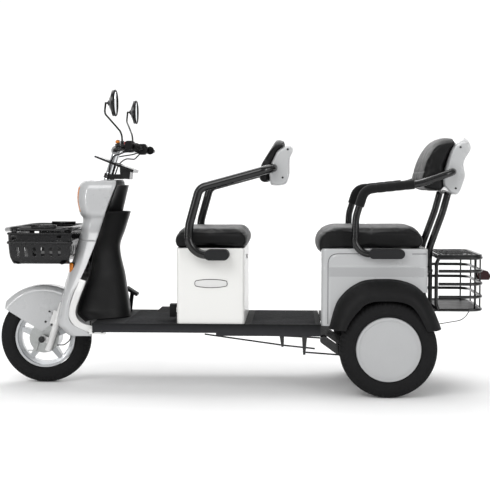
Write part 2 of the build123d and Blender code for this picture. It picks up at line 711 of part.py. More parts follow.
def front_basket():
    """Moulded basket with slots, windows and a rail above its rim."""
    outer = basket_outer()
    inner = loft([basket_plan(-11, BASKET_LOW + WALL), basket_plan(-3, BASKET_LOW + 40), basket_plan(0, BASKET_TOP + 1)], ruled=True)
    tub = outer - inner
    lip = extrude(basket_plan(8, BASKET_TOP - 6), 6) - extrude(basket_plan(-1, BASKET_TOP - 8), 12)
    tub = tub + lip
    pitch = 36.0
    for i in range(SLOTS):
        x = -74 + i * pitch
        tub = tub - block(x - 5, x + 5, -300, 300, 580, 612)
    for i in range(-3, 4):
        tub = tub - block(-200, 300, i * 48 - 6, i * 48 + 6, 580, 612)
    for x0, x1, z0, z1 in ((-98, -78, 630, 662), (128, 148, 622, 662)):
        tub = tub - block(x0, x1, -300, 300, z0, z1)
    ring_points = [(150, -BASKET_HALF, RING_Z - 3), (-90, -BASKET_HALF, RING_Z), (-162, -60, RING_Z - 12), (-162, 60, RING_Z - 12),
                   (-90, BASKET_HALF, RING_Z), (150, BASKET_HALF, RING_Z - 3)]
    ring = bent_tube(ring_points, [40, 60, 60, 40], RING_R)
    rear_bar = rod_y(150, RING_Z - 3, RING_R, -BASKET_HALF, BASKET_HALF)
    knees = [Pos(150, side * BASKET_HALF, RING_Z - 3) * Sphere(RING_R) for side in (-1, 1)]
    props = []
    for side in (-1, 1):
        for x in (-88, 120):
            props.append(block(x - 8, x + 8, side * (BASKET_HALF - 4), side * (BASKET_HALF + 5), BASKET_TOP - 4, RING_Z - 1))
    pad = block(-10, 90, BASKET_HALF - 13, BASKET_HALF + 13, RING_Z + 4, RING_Z + 14)
    return tub + ring + rear_bar + knees + props + pad


def basket_bracket():
    """Two steel arms between the basket's rear wall and the cowl's neck."""
    arms = []
    cowl = Pos(-SEAT_CLEAR, 0, 0) * front_solid(COWL_LEVELS[:3])
    tub = Pos(SEAT_CLEAR, 0, 0) * basket_outer()
    for y in (-40, 40):
        arm = block(90, 200, y - 14, y + 14, 646, 668)
        arms.append(arm - cowl - tub)
    return arms


# ---- floor --------------------------------------------------------------------------------------
def floor_board():
    """Foot board with anti-slip ribs and deep side skirts, deeper behind the driver's box."""
    front = block(FLOOR_START, 790, -FLOOR_HALF, FLOOR_HALF, FLOOR_Z - SKIRT, FLOOR_Z)
    rear = block(780, FLOOR_END, -FLOOR_HALF, FLOOR_HALF, FLOOR_Z - SKIRT - 12, FLOOR_Z)
    board = front + rear
    hollow = block(FLOOR_START - 5, FLOOR_END + 5, -FLOOR_HALF + 4, FLOOR_HALF - 4, 200, FLOOR_Z - BOARD_T)
    slot = block(DOWN_SLOT[0], DOWN_SLOT[1], -DOWN_R - 3, DOWN_R + 3, 200, FLOOR_Z + 5)
    board = board - hollow - slot
    for x0, x1 in ((390, 600), (930, 1200)):
        for y in range(-220, 221, 40):
            board = board + block(x0, x1, y - 5, y + 5, FLOOR_Z - 1, FLOOR_Z + 2)
    return board


def brake_rods():
    """Long rods under the floor that work the rear brakes."""
    y = LUG_Y + 3 + SEAT_CLEAR + ROD_R
    high = strut((816, y, 243), (1236, y, 222), ROD_R)
    long = bent_tube([(722, y, 236), (1068, y, 189), (1200, y, 176)], [400], ROD_R)
    tail = strut((1153, y, 160), (1300, y, 150), ROD_R)
    return [high, long, tail]


PEDAL_Y = 160.0
PEDAL_X = 352.0
PEDAL_Z = FLOOR_Z + 12.0


def brake_pedal():
    """Foot pedal with a ribbed pad, on a cross pin at the floor."""
    arm = side_plate([(344, 300), (362, 304), (372, 385), (356, 394)], PEDAL_Y - 5, PEDAL_Y + 5)
    pad = side_plate([(334, 404), (340, 412), (392, 380), (387, 371)], PEDAL_Y - 30, PEDAL_Y + 30)
    for y in range(-24, 25, 12):
        pad = pad + side_plate([(341, 412), (342, 414), (391, 383), (390, 381)], PEDAL_Y + y - 3, PEDAL_Y + y + 3)
    hub = rod_y(PEDAL_X, PEDAL_Z, 9, PEDAL_Y - 12, PEDAL_Y + 12)
    return arm + pad + hub - rod_y(PEDAL_X, PEDAL_Z, 4 + RUN_CLEAR, PEDAL_Y - 40, PEDAL_Y + 40)


def pedal_perch():
    """Two ears and the pin of the brake pedal, on the floor board."""
    perch = rod_y(PEDAL_X, PEDAL_Z, 4, PEDAL_Y - 20, PEDAL_Y + 20)
    for y in (PEDAL_Y - 17, PEDAL_Y + 17):
        perch = perch + block(PEDAL_X - 9, PEDAL_X + 9, y - 3, y + 3, FLOOR_Z - 2, PEDAL_Z + 8)
    return perch


PARK_X = 596.0
PARK_Z = 343.0
PARK_Y = -120.0


def parking_lever():
    """Short foot lever in front of the driver's box."""
    arm = side_plate([(514, 336), (538, 356), (590, 356), (590, 330), (528, 328)], PARK_Y - 12, PARK_Y + 12)
    hub = rod_y(PARK_X, PARK_Z, 11, PARK_Y - 12, PARK_Y + 12)
    return arm + hub - rod_y(PARK_X, PARK_Z, 4 + RUN_CLEAR, PARK_Y - 30, PARK_Y + 30)


def parking_perch():
    """Ears and pin that carry the parking lever on the box front."""
    perch = rod_y(PARK_X, PARK_Z, 4, PARK_Y - 20, PARK_Y + 20)
    for y in (PARK_Y - 16, PARK_Y + 16):
        perch = perch + block(PARK_X - 8, BOX_FRONT + 2, y - 3, y + 3, PARK_Z - 10, PARK_Z + 10)
    return perch


# ---- driver's seat ------------------------------------------------------------------------------
COVER_Z = 592.0
REAR_COVER_Z = 597.0


def front_seat_box():
    """Sheet steel box under the driver, open at the top."""
    outer = block(BOX_FRONT, BOX_REAR, -BOX_HALF, BOX_HALF, FLOOR_Z, SEAT_Z)
    outer = fillet(outer.edges().filter_by(Axis.Z), 16)
    inner = block(BOX_FRONT + WALL, BOX_REAR - WALL, WALL - BOX_HALF, BOX_HALF - WALL, FLOOR_Z + WALL, SEAT_Z + 5)
    inner = fillet(inner.edges().filter_by(Axis.Z), 13)
    lock_hole = rod_x(0, 567, 10 + RUN_CLEAR, BOX_REAR - 20, BOX_REAR + 20)
    return outer - inner - lock_hole + parking_perch()


def seat_lock():
    """Lock barrel in the rear wall of the driver's box."""
    return rod_x(0, 567, 10, BOX_REAR - 22, BOX_REAR + 3) - block(BOX_REAR, BOX_REAR + 5, -4, 4, 566, 568)


def cushion(x0, x1, half, z0, z1, edge):
    """Plain padded block with rounded edges."""
    pad = block(x0, x1, -half, half, z0, z1)
    pad = fillet(pad.edges().filter_by(Axis.Z), 36)
    return fillet(pad.edges().group_by(Axis.Z)[-1], edge)


def front_seat_cushion():
    """Driver's seat cushion on its hinged pan."""
    return cushion(607, 927, CUSHION_HALF, SEAT_Z + SEAT_CLEAR, SEAT_Z + CUSHION_T, 24)


def rear_seat_cushion():
    """Passenger cushion with a nose that drops over the body's front edge."""
    pad = cushion(1197, 1656, REAR_CUSHION_HALF, SEAT_Z + SEAT_CLEAR, SEAT_Z + REAR_CUSHION_T, 24)
    nose = block(1197, BODY_FRONT - 1.5, 24 - REAR_CUSHION_HALF, REAR_CUSHION_HALF - 24, 594, SEAT_Z + 40)
    return pad + nose


def front_armrest_frame():
    """One steel tube: up from each cover, back along the arm and across behind the pad."""
    half = [(812, COVER_Z), (667, COVER_Z), (672, 715), (715, 870), (FRONT_BAR_X, FRONT_BAR_Z)]
    right = [(x, FRONT_ARM_Y, z) for x, z in half]
    left = [(x, -FRONT_ARM_Y, z) for x, z in reversed(half)]
    return bent_tube(right + left, [75, 150, 45, 55, 55, 45, 150, 75], FRONT_ARM_R, 2.5)


def arm_cover(x0, x1, y0, y1, z, height, bore, arm_y):
    """Capsule-shaped cover that holds an arm tube against the body side."""
    cover = block(x0, x1, y0, y1, z - height / 2, z + height / 2)
    cover = fillet(cover.edges().filter_by(Axis.Y), height / 2 - 1)
    return cover - rod_x(arm_y, z, bore, x0 - 5, x1 - 22)


def arm_covers():
    """The four covers at the arm tube roots."""
    covers = []
    covers += both_sides(arm_cover(736, 838, BOX_HALF + SEAT_CLEAR, 308, COVER_Z, 44, FRONT_ARM_R + RUN_CLEAR, FRONT_ARM_Y))
    covers += both_sides(arm_cover(1419, 1567, BODY_HALF + SEAT_CLEAR, 289, REAR_COVER_Z, 40, REAR_ARM_R + RUN_CLEAR, REAR_ARM_Y))
    return covers


FRONT_BAR_X = 1021.0
FRONT_BAR_Z = 954.0
FRONT_SEAM = [(1004, 882), (996, 938), (1008, 984), (1036, 1046), (1086, 1074)]


def front_backrest_pad():
    """Padded front of the driver's backrest."""
    face = [(966, 890), (964, 930), (974, 970), (1044, 1085)]
    seam = [(x - SEAT_CLEAR - 0.1, z) for x, z in reversed(FRONT_SEAM)]
    return side_plate(face + seam, -PAD_HALF, PAD_HALF)


def front_backrest_shell():
    """Moulded rear shell of the driver's backrest, with the arm tube through it."""
    back = [(1108, 1046), (1092, 1004), (1092, 930), (1078, 882), (1034, 876)]
    shell = side_plate(FRONT_SEAM + back, -PAD_HALF, PAD_HALF)
    return shell - rod_y(FRONT_BAR_X, FRONT_BAR_Z, FRONT_ARM_R + SEAT_CLEAR, -300, 300)


# ---- rear body ----------------------------------------------------------------------------------
WELL_R = 232.0
WELL_HALF = 236.0


def body_block(inset, low):
    """Rear body volume less its wheel wells."""
    solid = block(BODY_FRONT + inset, BODY_REAR - inset, inset - BODY_HALF, BODY_HALF - inset, low, SEAT_Z + inset * 2)
    for side in (-1, 1):
        solid = solid - rod_y(REAR_X, WHEEL_R, WELL_R + inset, side * (WELL_HALF - inset), side * (BODY_HALF + 10))
    return solid


def rear_body():
    """Painted shell under the passenger seat with its wheel wells, open below and at the top."""
    shell = body_block(0, RAIL_TOP + SEAT_CLEAR) - body_block(WALL, RAIL_TOP - 5)
    for side in (-1, 1):
        shell = shell - rod_x(side * SUB_Y, SUB_Z, SUB_R + SEAT_CLEAR, BODY_REAR - 20, BODY_REAR + 20)
    rear_gap = block(BODY_REAR - 90, BODY_REAR + 5, -BODY_HALF - 5, BODY_HALF + 5, RAIL_LOW, 430)
    return shell - rear_gap


def fender_flares():
    """Wide black mudguards from the body side out over the rear tyres."""
    def arch(points, radius, y):
        face = make_face(FilletPolyline(*points, radius=radius, close=True))
        return Plane(origin=(0, y, 0), x_dir=(1, 0, 0), z_dir=(0, 1, 0)) * (mirror(face, about=Plane.XZ))

    low = 283.0
    root = [(1256, low), (1308, 492), (1660, 492), (1724, low)]
    lip = [(1309, low), (1360, 421), (1614, 421), (1672, low)]
    root_in = [(x, z) for x, z in [(1261, low - 2), (1312, 488), (1656, 488), (1719, low - 2)]]
    lip_in = [(1314, low - 2), (1363, 417), (1611, 417), (1667, low - 2)]
    radii = [2, 84, 84, 2]
    outer = loft([arch(root, radii, BODY_HALF + SEAT_CLEAR), arch(lip, radii, FLARE_HALF)])
    inner = loft([arch(root_in, radii, BODY_HALF - 1), arch(lip_in, radii, FLARE_HALF + 1)])
    return both_sides(outer - inner)


ARM_LOW = (1364.0, 748.0)
ARM_BEND = (1400.0, 864.0)
ARM_END = (1628.0, 888.0)
REAR_BAR_X = 1767.0
REAR_BAR_Z = 938.0


def rear_armrest_frame():
    """One steel tube: up from each rear cover, back along the arm and across behind the pad."""
    half = [(1544, REAR_COVER_Z), (1360, REAR_COVER_Z), ARM_LOW, ARM_BEND, ARM_END, (REAR_BAR_X, REAR_BAR_Z)]
    right = [(x, REAR_ARM_Y, z) for x, z in half]
    left = [(x, -REAR_ARM_Y, z) for x, z in reversed(half)]
    return bent_tube(right + left, [62, 150, 50, 200, 38, 38, 200, 50, 150, 62], REAR_ARM_R, 2.5)


FOAM_T = 5.0


def arm_grips():
    """Foam sleeves over the bends and flats of the rear arm tubes."""
    grips = []
    for side in (-1, 1):
        low = Vector(*ARM_LOW) + (Vector(*ARM_BEND) - Vector(*ARM_LOW)) * 0.4
        end = Vector(*ARM_BEND) + (Vector(*ARM_END) - Vector(*ARM_BEND)) * 0.9
        line = [(p.X, side * REAR_ARM_Y, p.Y) for p in (low, Vector(*ARM_BEND), end)]
        grips.append(bent_tube(line, [50], REAR_ARM_R + FOAM_T, FOAM_T - SEAT_CLEAR))
    return grips


REAR_SEAM = [(1738, 886), (1752, 952), (1768, 1018), (1784, 1064), (1818, 1091)]


def rear_backrest_pad():
    """Padded front of the passenger backrest."""
    face = [(1734, 872), (1640, 866), (1650, 915), (1668, 980), (1690, 1032), (1722, 1074), (1764, 1088), (1788, 1097)]
    seam = [(x - SEAT_CLEAR - 0.1, z) for x, z in reversed(REAR_SEAM)]
    return side_plate(face + seam, -PAD_HALF, PAD_HALF)


def rear_backrest_shell():
    """Moulded rear shell of the passenger backrest, with the arm tube and the posts in it."""
    back = [(1835, 1089), (1849, 1058), (1824, 1010), (1818, 980), (1826, 918), (1804, 857), (1792, 838), (1763, 843)]
    shell = side_plate(REAR_SEAM + back, -PAD_HALF, PAD_HALF)
    shell = shell - rod_y(REAR_BAR_X, REAR_BAR_Z, REAR_ARM_R + SEAT_CLEAR, -300, 300)
    for side in (-1, 1):
        shell = shell - strut((1742, side * POST_Y, 767), (1764.2, side * POST_Y, 851), POST_R + SEAT_CLEAR)
    return shell


# ---- rear basket --------------------------------------------------------------------------------
HOOP_R = 5.5
LID_R = 4.5
HOOPS = 5


def rear_basket():
    """Steel cage of U-shaped hoops on a floor plate."""
    cage = None
    step = (CAGE_HIGH - CAGE_LOW) / (HOOPS - 1)
    for i in range(HOOPS):
        z = CAGE_LOW + i * step
        hoop = bent_tube([(CAGE_FRONT + 18, -CAGE_HALF, z), (CAGE_REAR - HOOP_R, -CAGE_HALF, z), (CAGE_REAR - HOOP_R, CAGE_HALF, z),
                          (CAGE_FRONT + 18, CAGE_HALF, z)], [60, 60], HOOP_R)
        cage = hoop if cage is None else cage + hoop
    for side in (-1, 1):
        cage = cage + bent_tube([(CAGE_FRONT + 18, side * CAGE_HALF, CAGE_HIGH), (CAGE_FRONT + 8, side * CAGE_HALF, CAGE_HIGH - 20),
                                 (CAGE_FRONT + 8, side * CAGE_HALF, CAGE_LOW + 20), (CAGE_FRONT + 18, side * CAGE_HALF, CAGE_LOW)],
                                [15, 15], 7)
        for x in (CAGE_REAR - 70, CAGE_REAR - 5.5):
            y = side * (CAGE_HALF if x < CAGE_REAR - 30 else CAGE_HALF - 70)
            cage = cage + strut((x, y, CAGE_LOW), (x, y, CAGE_HIGH), 4)
    floor = block(CAGE_FRONT + 12, CAGE_REAR - 8, -CAGE_HALF + 2, CAGE_HALF - 2, CAGE_LOW - 2, CAGE_LOW + 2)
    floor = fillet(floor.edges().filter_by(Axis.Z).group_by(Axis.X)[-1], 50)
    front_bar = rod_y(CAGE_FRONT + 8, CAGE_LOW + 6, HOOP_R, -CAGE_HALF, CAGE_HALF)
    top_bar = rod_y(CAGE_FRONT + 18, CAGE_HIGH, HOOP_R, -CAGE_HALF, CAGE_HALF)
    lamp_bar = strut((CAGE_REAR - 5.5, 0, CAGE_LOW), (CAGE_REAR - 5.5, 0, CAGE_HIGH), 5)
    stay = bent_tube([(1862, -150, CAGE_LOW), (1832, -150, 308), (1728, -150, 290)], [30], 2)
    return cage + floor + front_bar + top_bar + lamp_bar + stay


def rear_basket_lid():
    """Domed mesh lid, hinged along its front edge."""
    hinge_x = CAGE_FRONT + 18
    z = CAGE_HIGH + HOOP_R + LID_R + SEAT_CLEAR
    half = CAGE_HALF - 4
    frame = bent_tube([(hinge_x, -half, z), (CAGE_REAR - 9, -half, z), (CAGE_REAR - 9, half, z), (hinge_x, half, z)],
                      [55, 55], LID_R)
    pin = rod_y(hinge_x, z, LID_R, -half, half)
    sheet = None
    for i in range(-9, 10):
        y = i * 20.0
        rise = 8 * (1 - (y / half) ** 2)
        run = CAGE_REAR - 14 if abs(y) < half - 60 else CAGE_REAR - 40
        wire = bent_tube([(hinge_x, y, z), (hinge_x + 60, y, z + rise), (run - 60, y, z + rise), (run, y, z)], [60, 60], 1.5)
        sheet = wire if sheet is None else sheet + wire
    for x in range(1740, 1900, 22):
        sheet = sheet + rod_y(x, z + 2, 1.5, -half, half)
    return frame + pin + sheet


def tail_lamp():
    """Lamp on the rear of the cage."""
    lamp = side_plate([(CAGE_REAR + 0.3, 470), (CAGE_REAR + 0.3, 518), (REAR_END - 14, 508), (REAR_END, 488), (REAR_END - 8, 470)],
                      -46, 46)
    clip = block(CAGE_REAR - 4, CAGE_REAR + 2, -44, -12, 484, 504) + block(CAGE_REAR - 4, CAGE_REAR + 2, 12, 44, 484, 504)
    return lamp + clip


REAR_END = WHEELBASE + REAR_OVERHANG


# ---- rear axle ----------------------------------------------------------------------------------
PIVOT_X = 1236.0
PIVOT_Z = 224.0
PIVOT_R = 6.0
ARM_SIDE = 190.0


def rear_axle():
    """Axle housing with motor and differential, brake drums and trailing arms."""
    housing = rod_y(REAR_X, WHEEL_R, 27, -216, 216)
    case = rod_y(REAR_X, WHEEL_R, 66, 20, 90)
    motor = rod_y(REAR_X, WHEEL_R, 55, -80, 24)
    axle = housing + case + motor
    for side in (-1, 1):
        axle = axle + rod_y(REAR_X, WHEEL_R, 62, side * 214, side * 244)
        arm = side_plate([(PIVOT_X - 14, PIVOT_Z + 8), (PIVOT_X + 10, PIVOT_Z + 14), (1320, 186), (1500, 196), (1520, 180),
                          (1500, 160), (1310, 150), (PIVOT_X - 12, PIVOT_Z - 12)], side * ARM_SIDE - 5, side * ARM_SIDE + 5,
                         radii=8)
        boss = rod_y(PIVOT_X, PIVOT_Z, 16, side * ARM_SIDE - 12, side * ARM_SIDE + 12)
        perch = Pos(1500, side * SUB_Y, 233) * Cylinder(22, 14)
        axle = axle + arm + boss + perch
        axle = axle - rod_y(PIVOT_X, PIVOT_Z, 6 + RUN_CLEAR, side * (ARM_SIDE - 30), side * (ARM_SIDE + 30))
        axle = axle - rod_y(REAR_X, WHEEL_R, STUB_R + RUN_CLEAR, side * 165, side * 260)
    return axle


def rear_shocks():
    """Two spring-dampers between the axle and the sub-frame."""
    shocks = []
    for side in (-1, 1):
        low = 240 + SEAT_CLEAR
        high = 482 - SEAT_CLEAR
        body = Pos(1500, side * SUB_Y, (low + high) / 2) * Cylinder(9, high - low)
        coil = Pos(1500, side * SUB_Y, (low + high) / 2 + 20) * Cylinder(24, high - low - 60)
        shocks.append(body + coil)
    return shocks


def battery_pack():
    """Battery in the driver's box."""
    return block(640, 872, -190, 190, FLOOR_Z + WALL, 480)


def front_brake_cable():
    """Cable from the brake plate up behind the fork leg."""
    return bent_tube([(59, -HUB_HALF - 8, 172), (92, -HUB_HALF - 12, 174), (124, -HUB_HALF - 18, 200), (118, -90, 300),
                      (128, -92, 372)],
                     [24, 34, 120], 2.5)


# ---- all nodes ----------------------------------------------------------------------------------
NODES = {
    "fork_sliders": fork_sliders,
    "front_axle": front_axle,
    "front_brake_arm": front_brake_arm,
    "front_brake_cable": front_brake_cable,
    "front_fender": front_fender,
    "front_tyre": lambda: tyre(0, 0),
    "front_rim": front_rim,
    "fork_upper": fork_upper,
    "handlebar_stem": handlebar_stem,
    "handlebar": handlebar,
    "left_grip": lambda: grip(-1, 0.11, 1.02, BAR_R + RUN_CLEAR),
    "throttle_grip": lambda: grip(1, 0.11, 1.02, BAR_R + RUN_CLEAR),
    "switch_pods": lambda: switch_pods() + lever_brackets(),
    "left_brake_lever": lambda: brake_lever(-1),
    "right_brake_lever": lambda: brake_lever(1),
    "mirror_stems": mirror_stems,
    "left_mirror": lambda: mirror_head(-1),
    "right_mirror": lambda: mirror_head(1),
    "dash_panel": dash_panel,
    "control_cables": control_cables,
    "headset_bearings": headset_bearings,
    "head_tube": head_tube,
    "frame_rails": frame_rails,
    "frame_crossmembers": frame_crossmembers,
    "rear_subframe": rear_subframe,
    "floor_board": lambda: floor_board() + pedal_perch(),
    "front_cowl": front_cowl,
    "headlight_lens": headlight_lens,
    "front_shield": front_shield,
    "shield_trim": shield_trim,
    "inner_leg_panel": inner_leg_panel,
    "front_basket": front_basket,
    "basket_bracket": basket_bracket,
    "front_seat_box": front_seat_box,
    "seat_lock": seat_lock,
    "front_seat_cushion": front_seat_cushion,
    "battery_pack": battery_pack,
    "front_armrest_frame": front_armrest_frame,
    "arm_covers": arm_covers,
    "front_backrest_shell": front_backrest_shell,
    "front_backrest_pad": front_backrest_pad,
    "rear_body": rear_body,
    "rear_seat_cushion": rear_seat_cushion,
    "rear_armrest_frame": rear_armrest_frame,
    "arm_grips": arm_grips,
    "rear_backrest_shell": rear_backrest_shell,
    "rear_backrest_pad": rear_backrest_pad,
    "fender_flares": fender_flares,
    "rear_basket": rear_basket,
    "rear_basket_lid": rear_basket_lid,
    "tail_lamp": tail_lamp,
    "brake_pedal": brake_pedal,
    "parking_lever": parking_lever,
    "brake_rods": brake_rods,
    "rear_axle": rear_axle,
    "rear_shocks": rear_shocks,
    "left_rear_tyre": lambda: tyre(REAR_X, -REAR_Y),
    "right_rear_tyre": lambda: tyre(REAR_X, REAR_Y),
    "left_rear_wheel": lambda: rear_rim(-1),
    "right_rear_wheel": lambda: rear_rim(1),
}

os.makedirs("parts", exist_ok=True)
for name, build in NODES.items():
    made = build()
    solids = made if isinstance(made, list) else [made]
    solids = [solid for piece in solids for solid in piece.solids()]
    shape = solids[0] if len(solids) == 1 else Compound(solids)
    export_step(TO_FRAME * shape, f"parts/{name}.step")
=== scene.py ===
import json
import math

import bmesh
import bpy
import numpy as np
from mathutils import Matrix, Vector


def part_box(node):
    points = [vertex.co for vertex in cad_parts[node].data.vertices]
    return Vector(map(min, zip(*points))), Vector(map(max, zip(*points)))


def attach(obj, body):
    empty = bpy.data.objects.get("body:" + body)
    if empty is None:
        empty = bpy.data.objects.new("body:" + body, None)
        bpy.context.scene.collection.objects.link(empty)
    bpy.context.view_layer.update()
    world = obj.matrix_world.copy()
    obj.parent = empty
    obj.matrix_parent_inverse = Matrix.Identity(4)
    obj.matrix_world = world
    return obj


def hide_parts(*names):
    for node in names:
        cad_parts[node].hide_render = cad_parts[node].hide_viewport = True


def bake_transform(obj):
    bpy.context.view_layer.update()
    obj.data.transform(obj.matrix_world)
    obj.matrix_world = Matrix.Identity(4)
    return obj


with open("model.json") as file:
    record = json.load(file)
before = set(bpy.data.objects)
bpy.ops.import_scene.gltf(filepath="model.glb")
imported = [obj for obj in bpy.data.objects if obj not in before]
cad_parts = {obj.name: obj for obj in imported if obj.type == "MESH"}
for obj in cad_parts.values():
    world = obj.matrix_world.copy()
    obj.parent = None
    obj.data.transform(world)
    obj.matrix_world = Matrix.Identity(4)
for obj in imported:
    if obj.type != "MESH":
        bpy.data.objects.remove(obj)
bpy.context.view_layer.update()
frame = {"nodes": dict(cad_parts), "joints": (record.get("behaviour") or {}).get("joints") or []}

bl_info = {
    "name": "Passenger Tricycle",
    "version": (1, 0, 0),
    "blender": (4, 5, 0),
    "location": "View3D > Sidebar > Tricycle",
    "description": "Builds the visible surfaces of a two-seat tricycle round its fixed frame",
    "category": "Object",
}

AXLE_X = 0.881
WHEEL_Z = 203
REAR_AXLE_X = 1500
REAR_TRACK = 289


# ---- numbers and small shapes -------------------------------------------------------------------
def mm(x, y, z):
    """A point given in mm, x from the front axle, as metres in the shared frame."""
    x, y, z = np.broadcast_arrays(np.asarray(x, float), np.asarray(y, float), np.asarray(z, float))
    return np.stack([x / 1000.0 - AXLE_X, y / 1000.0, z / 1000.0], axis=-1)


def linear(code):
    """A hex colour as four linear values."""
    parts = [int(code[i:i + 2], 16) / 255.0 for i in (1, 3, 5)]
    return tuple(c / 12.92 if c <= 0.04045 else ((c + 0.055) / 1.055) ** 2.4 for c in parts) + (1.0,)


def smooth_rows(table, values):
    """Rows of a table read at any first-column values, by a monotone cubic through the rows."""
    table = np.asarray(table, float)
    keys = table[:, 0]
    step = np.diff(keys)
    slope = np.diff(table[:, 1:], axis=0) / step[:, None]
    tangent = np.zeros_like(table[:, 1:])
    tangent[1:-1] = np.where(slope[1:] * slope[:-1] > 0, (slope[1:] + slope[:-1]) / 2, 0.0)
    tangent[0], tangent[-1] = slope[0], slope[-1]
    values = np.clip(values, keys[0], keys[-1])
    i = np.clip(np.searchsorted(keys, values) - 1, 0, len(keys) - 2)
    t = ((values - keys[i]) / step[i])[:, None]
    a, b = table[i, 1:], table[i + 1, 1:]
    ta, tb = tangent[i] * step[i][:, None], tangent[i + 1] * step[i][:, None]
    return a * (1 + 2 * t) * (1 - t) ** 2 + ta * t * (1 - t) ** 2 + b * t * t * (3 - 2 * t) + tb * t * t * (t - 1)


def rounded_line(points, radius, steps=8):
    """An open or closed polyline whose corners are rounded by quadratic curves."""
    points = np.asarray(points, float)
    closed = np.allclose(points[0], points[-1])
    if closed:
        points = points[:-1]
    count = len(points)
    rows = []
    for i, corner in enumerate(points):
        if not closed and i in (0, count - 1):
            rows.append(corner[None])
            continue
        before, after = points[i - 1] - corner, points[(i + 1) % count] - corner
        reach = min(radius, np.linalg.norm(before) * 0.48, np.linalg.norm(after) * 0.48)
        start = corner + before / np.linalg.norm(before) * reach
        end = corner + after / np.linalg.norm(after) * reach
        t = np.linspace(0, 1, steps)[:, None]
        rows.append(start * (1 - t) ** 2 + corner * 2 * t * (1 - t) + end * t * t)
    return np.concatenate(rows)


def even(line, count, closed=False):
    """The same line with evenly spaced points."""
    line = np.asarray(line, float)
    if closed:
        line = np.concatenate([line, line[:1]])
    run = np.concatenate([[0.0], np.cumsum(np.linalg.norm(np.diff(line, axis=0), axis=1))])
    at = np.linspace(0, run[-1], count + 1)[:-1] if closed else np.linspace(0, run[-1], count)
    return np.stack([np.interp(at, run, line[:, k]) for k in range(line.shape[1])], axis=1)


# ---- meshes -------------------------------------------------------------------------------------
def new_object(name, verts, faces, body, material):
    """A mesh object from arrays, with its faces turned outwards, riding on its body."""
    mesh = bpy.data.meshes.new(name)
    mesh.from_pydata(np.asarray(verts, float).reshape(-1, 3).tolist(), [], [list(f) for f in faces])
    mesh.validate()
    mesh.update()
    obj = bpy.data.objects.new(name, mesh)
    bpy.context.scene.collection.objects.link(obj)
    mesh.materials.append(material)
    mesh.shade_smooth()
    if body:
        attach(obj, body)
    return obj


def grid_faces(rows, columns, wrap_rows=False, wrap_columns=False, flip=False):
    """Quads between neighbouring points of a grid."""
    i = np.arange(rows if wrap_rows else rows - 1)
    j = np.arange(columns if wrap_columns else columns - 1)
    i, j = np.meshgrid(i, j, indexing="ij")
    a = i * columns + j
    b = i * columns + (j + 1) % columns
    c = ((i + 1) % rows) * columns + (j + 1) % columns
    d = ((i + 1) % rows) * columns + j
    quads = np.stack([a, d, c, b] if flip else [a, b, c, d], axis=-1).reshape(-1, 4)
    return quads.tolist()


def outward(obj):
    """Merges doubles and turns every face of a closed mesh outwards."""
    work = bmesh.new()
    work.from_mesh(obj.data)
    bmesh.ops.remove_doubles(work, verts=work.verts, dist=1e-6)
    bmesh.ops.recalc_face_normals(work, faces=work.faces)
    work.to_mesh(obj.data)
    work.free()
    obj.data.update()
    return obj


def surface(name, points, body, material, wrap_rows=False, wrap_columns=False, caps=False, thick=None):
    """One object from a grid of points: rows by columns; caps close the first and last row."""
    points = np.asarray(points, float)
    rows, columns = points.shape[:2]
    faces = grid_faces(rows, columns, wrap_rows, wrap_columns)
    verts = points.reshape(-1, 3)
    if caps:
        ends = np.stack([points[0].mean(axis=0), points[-1].mean(axis=0)])
        base = len(verts)
        verts = np.concatenate([verts, ends])
        for end, row in ((0, 0), (1, rows - 1)):
            for j in range(columns if wrap_columns else columns - 1):
                faces.append([base + end, row * columns + j, row * columns + (j + 1) % columns])
    obj = outward(new_object(name, verts, faces, body, material))
    if thick:
        wall = obj.modifiers.new("wall", "SOLIDIFY")
        wall.thickness = thick / 1000.0
        wall.offset = -1.0
    return obj


def frames_along(path):
    """Two unit normals at each point of a path, turned as little as possible from point to point."""
    way = np.gradient(path, axis=0)
    way /= np.linalg.norm(way, axis=1)[:, None]
    start = np.cross(way[0], [0.0, 0.0, 1.0] if abs(way[0][2]) < 0.9 else [0.0, 1.0, 0.0])
    normals = [start / np.linalg.norm(start)]
    for step in way[1:]:
        side = normals[-1] - step * np.dot(normals[-1], step)
        normals.append(side / np.linalg.norm(side))
    normals = np.array(normals)
    return normals, np.cross(way, normals)


def tube(name, path, radius, body, material, around=24, caps=True):
    """Circle carried along a path: centre + radius(s) (cos a, sin a) in the path's normal plane."""
    path = np.asarray(path, float)
    across, up = frames_along(path)
    angle = np.linspace(0, 2 * np.pi, around, endpoint=False)
    radius = np.broadcast_to(np.asarray(radius, float), (len(path),))[:, None, None] / 1000.0
    ring = across[:, None] * np.cos(angle)[None, :, None] + up[:, None] * np.sin(angle)[None, :, None]
    return surface(name, path[:, None] + ring * radius, body, material, wrap_columns=True, caps=caps)


def lathe(name, profile, centre, axis, body, material, around=48):
    """Profile of (along, radius) in mm turned about an axis through a centre given in metres."""
    profile = np.asarray(profile, float) / 1000.0
    axis = np.asarray(axis, float) / np.linalg.norm(axis)
    side = np.cross(axis, [0.0, 0.0, 1.0] if abs(axis[2]) < 0.9 else [0.0, 1.0, 0.0])
    side /= np.linalg.norm(side)
    other = np.cross(axis, side)
    angle = np.linspace(0, 2 * np.pi, around, endpoint=False)
    ring = side * np.cos(angle)[:, None] + other * np.sin(angle)[:, None]
    points = np.asarray(centre) + profile[:, None, :1] * axis + profile[:, None, 1:] * ring[None]
    return surface(name, points, body, material, wrap_columns=True, caps=True)


def merge(name, objects):
    """Several like pieces as one object on their common body."""
    bpy.ops.object.select_all(action="DESELECT")
    for obj in objects:
        obj.select_set(True)
    bpy.context.view_layer.objects.active = objects[0]
    if len(objects) > 1:
        bpy.ops.object.join()
    objects[0].name = name
    return objects[0]


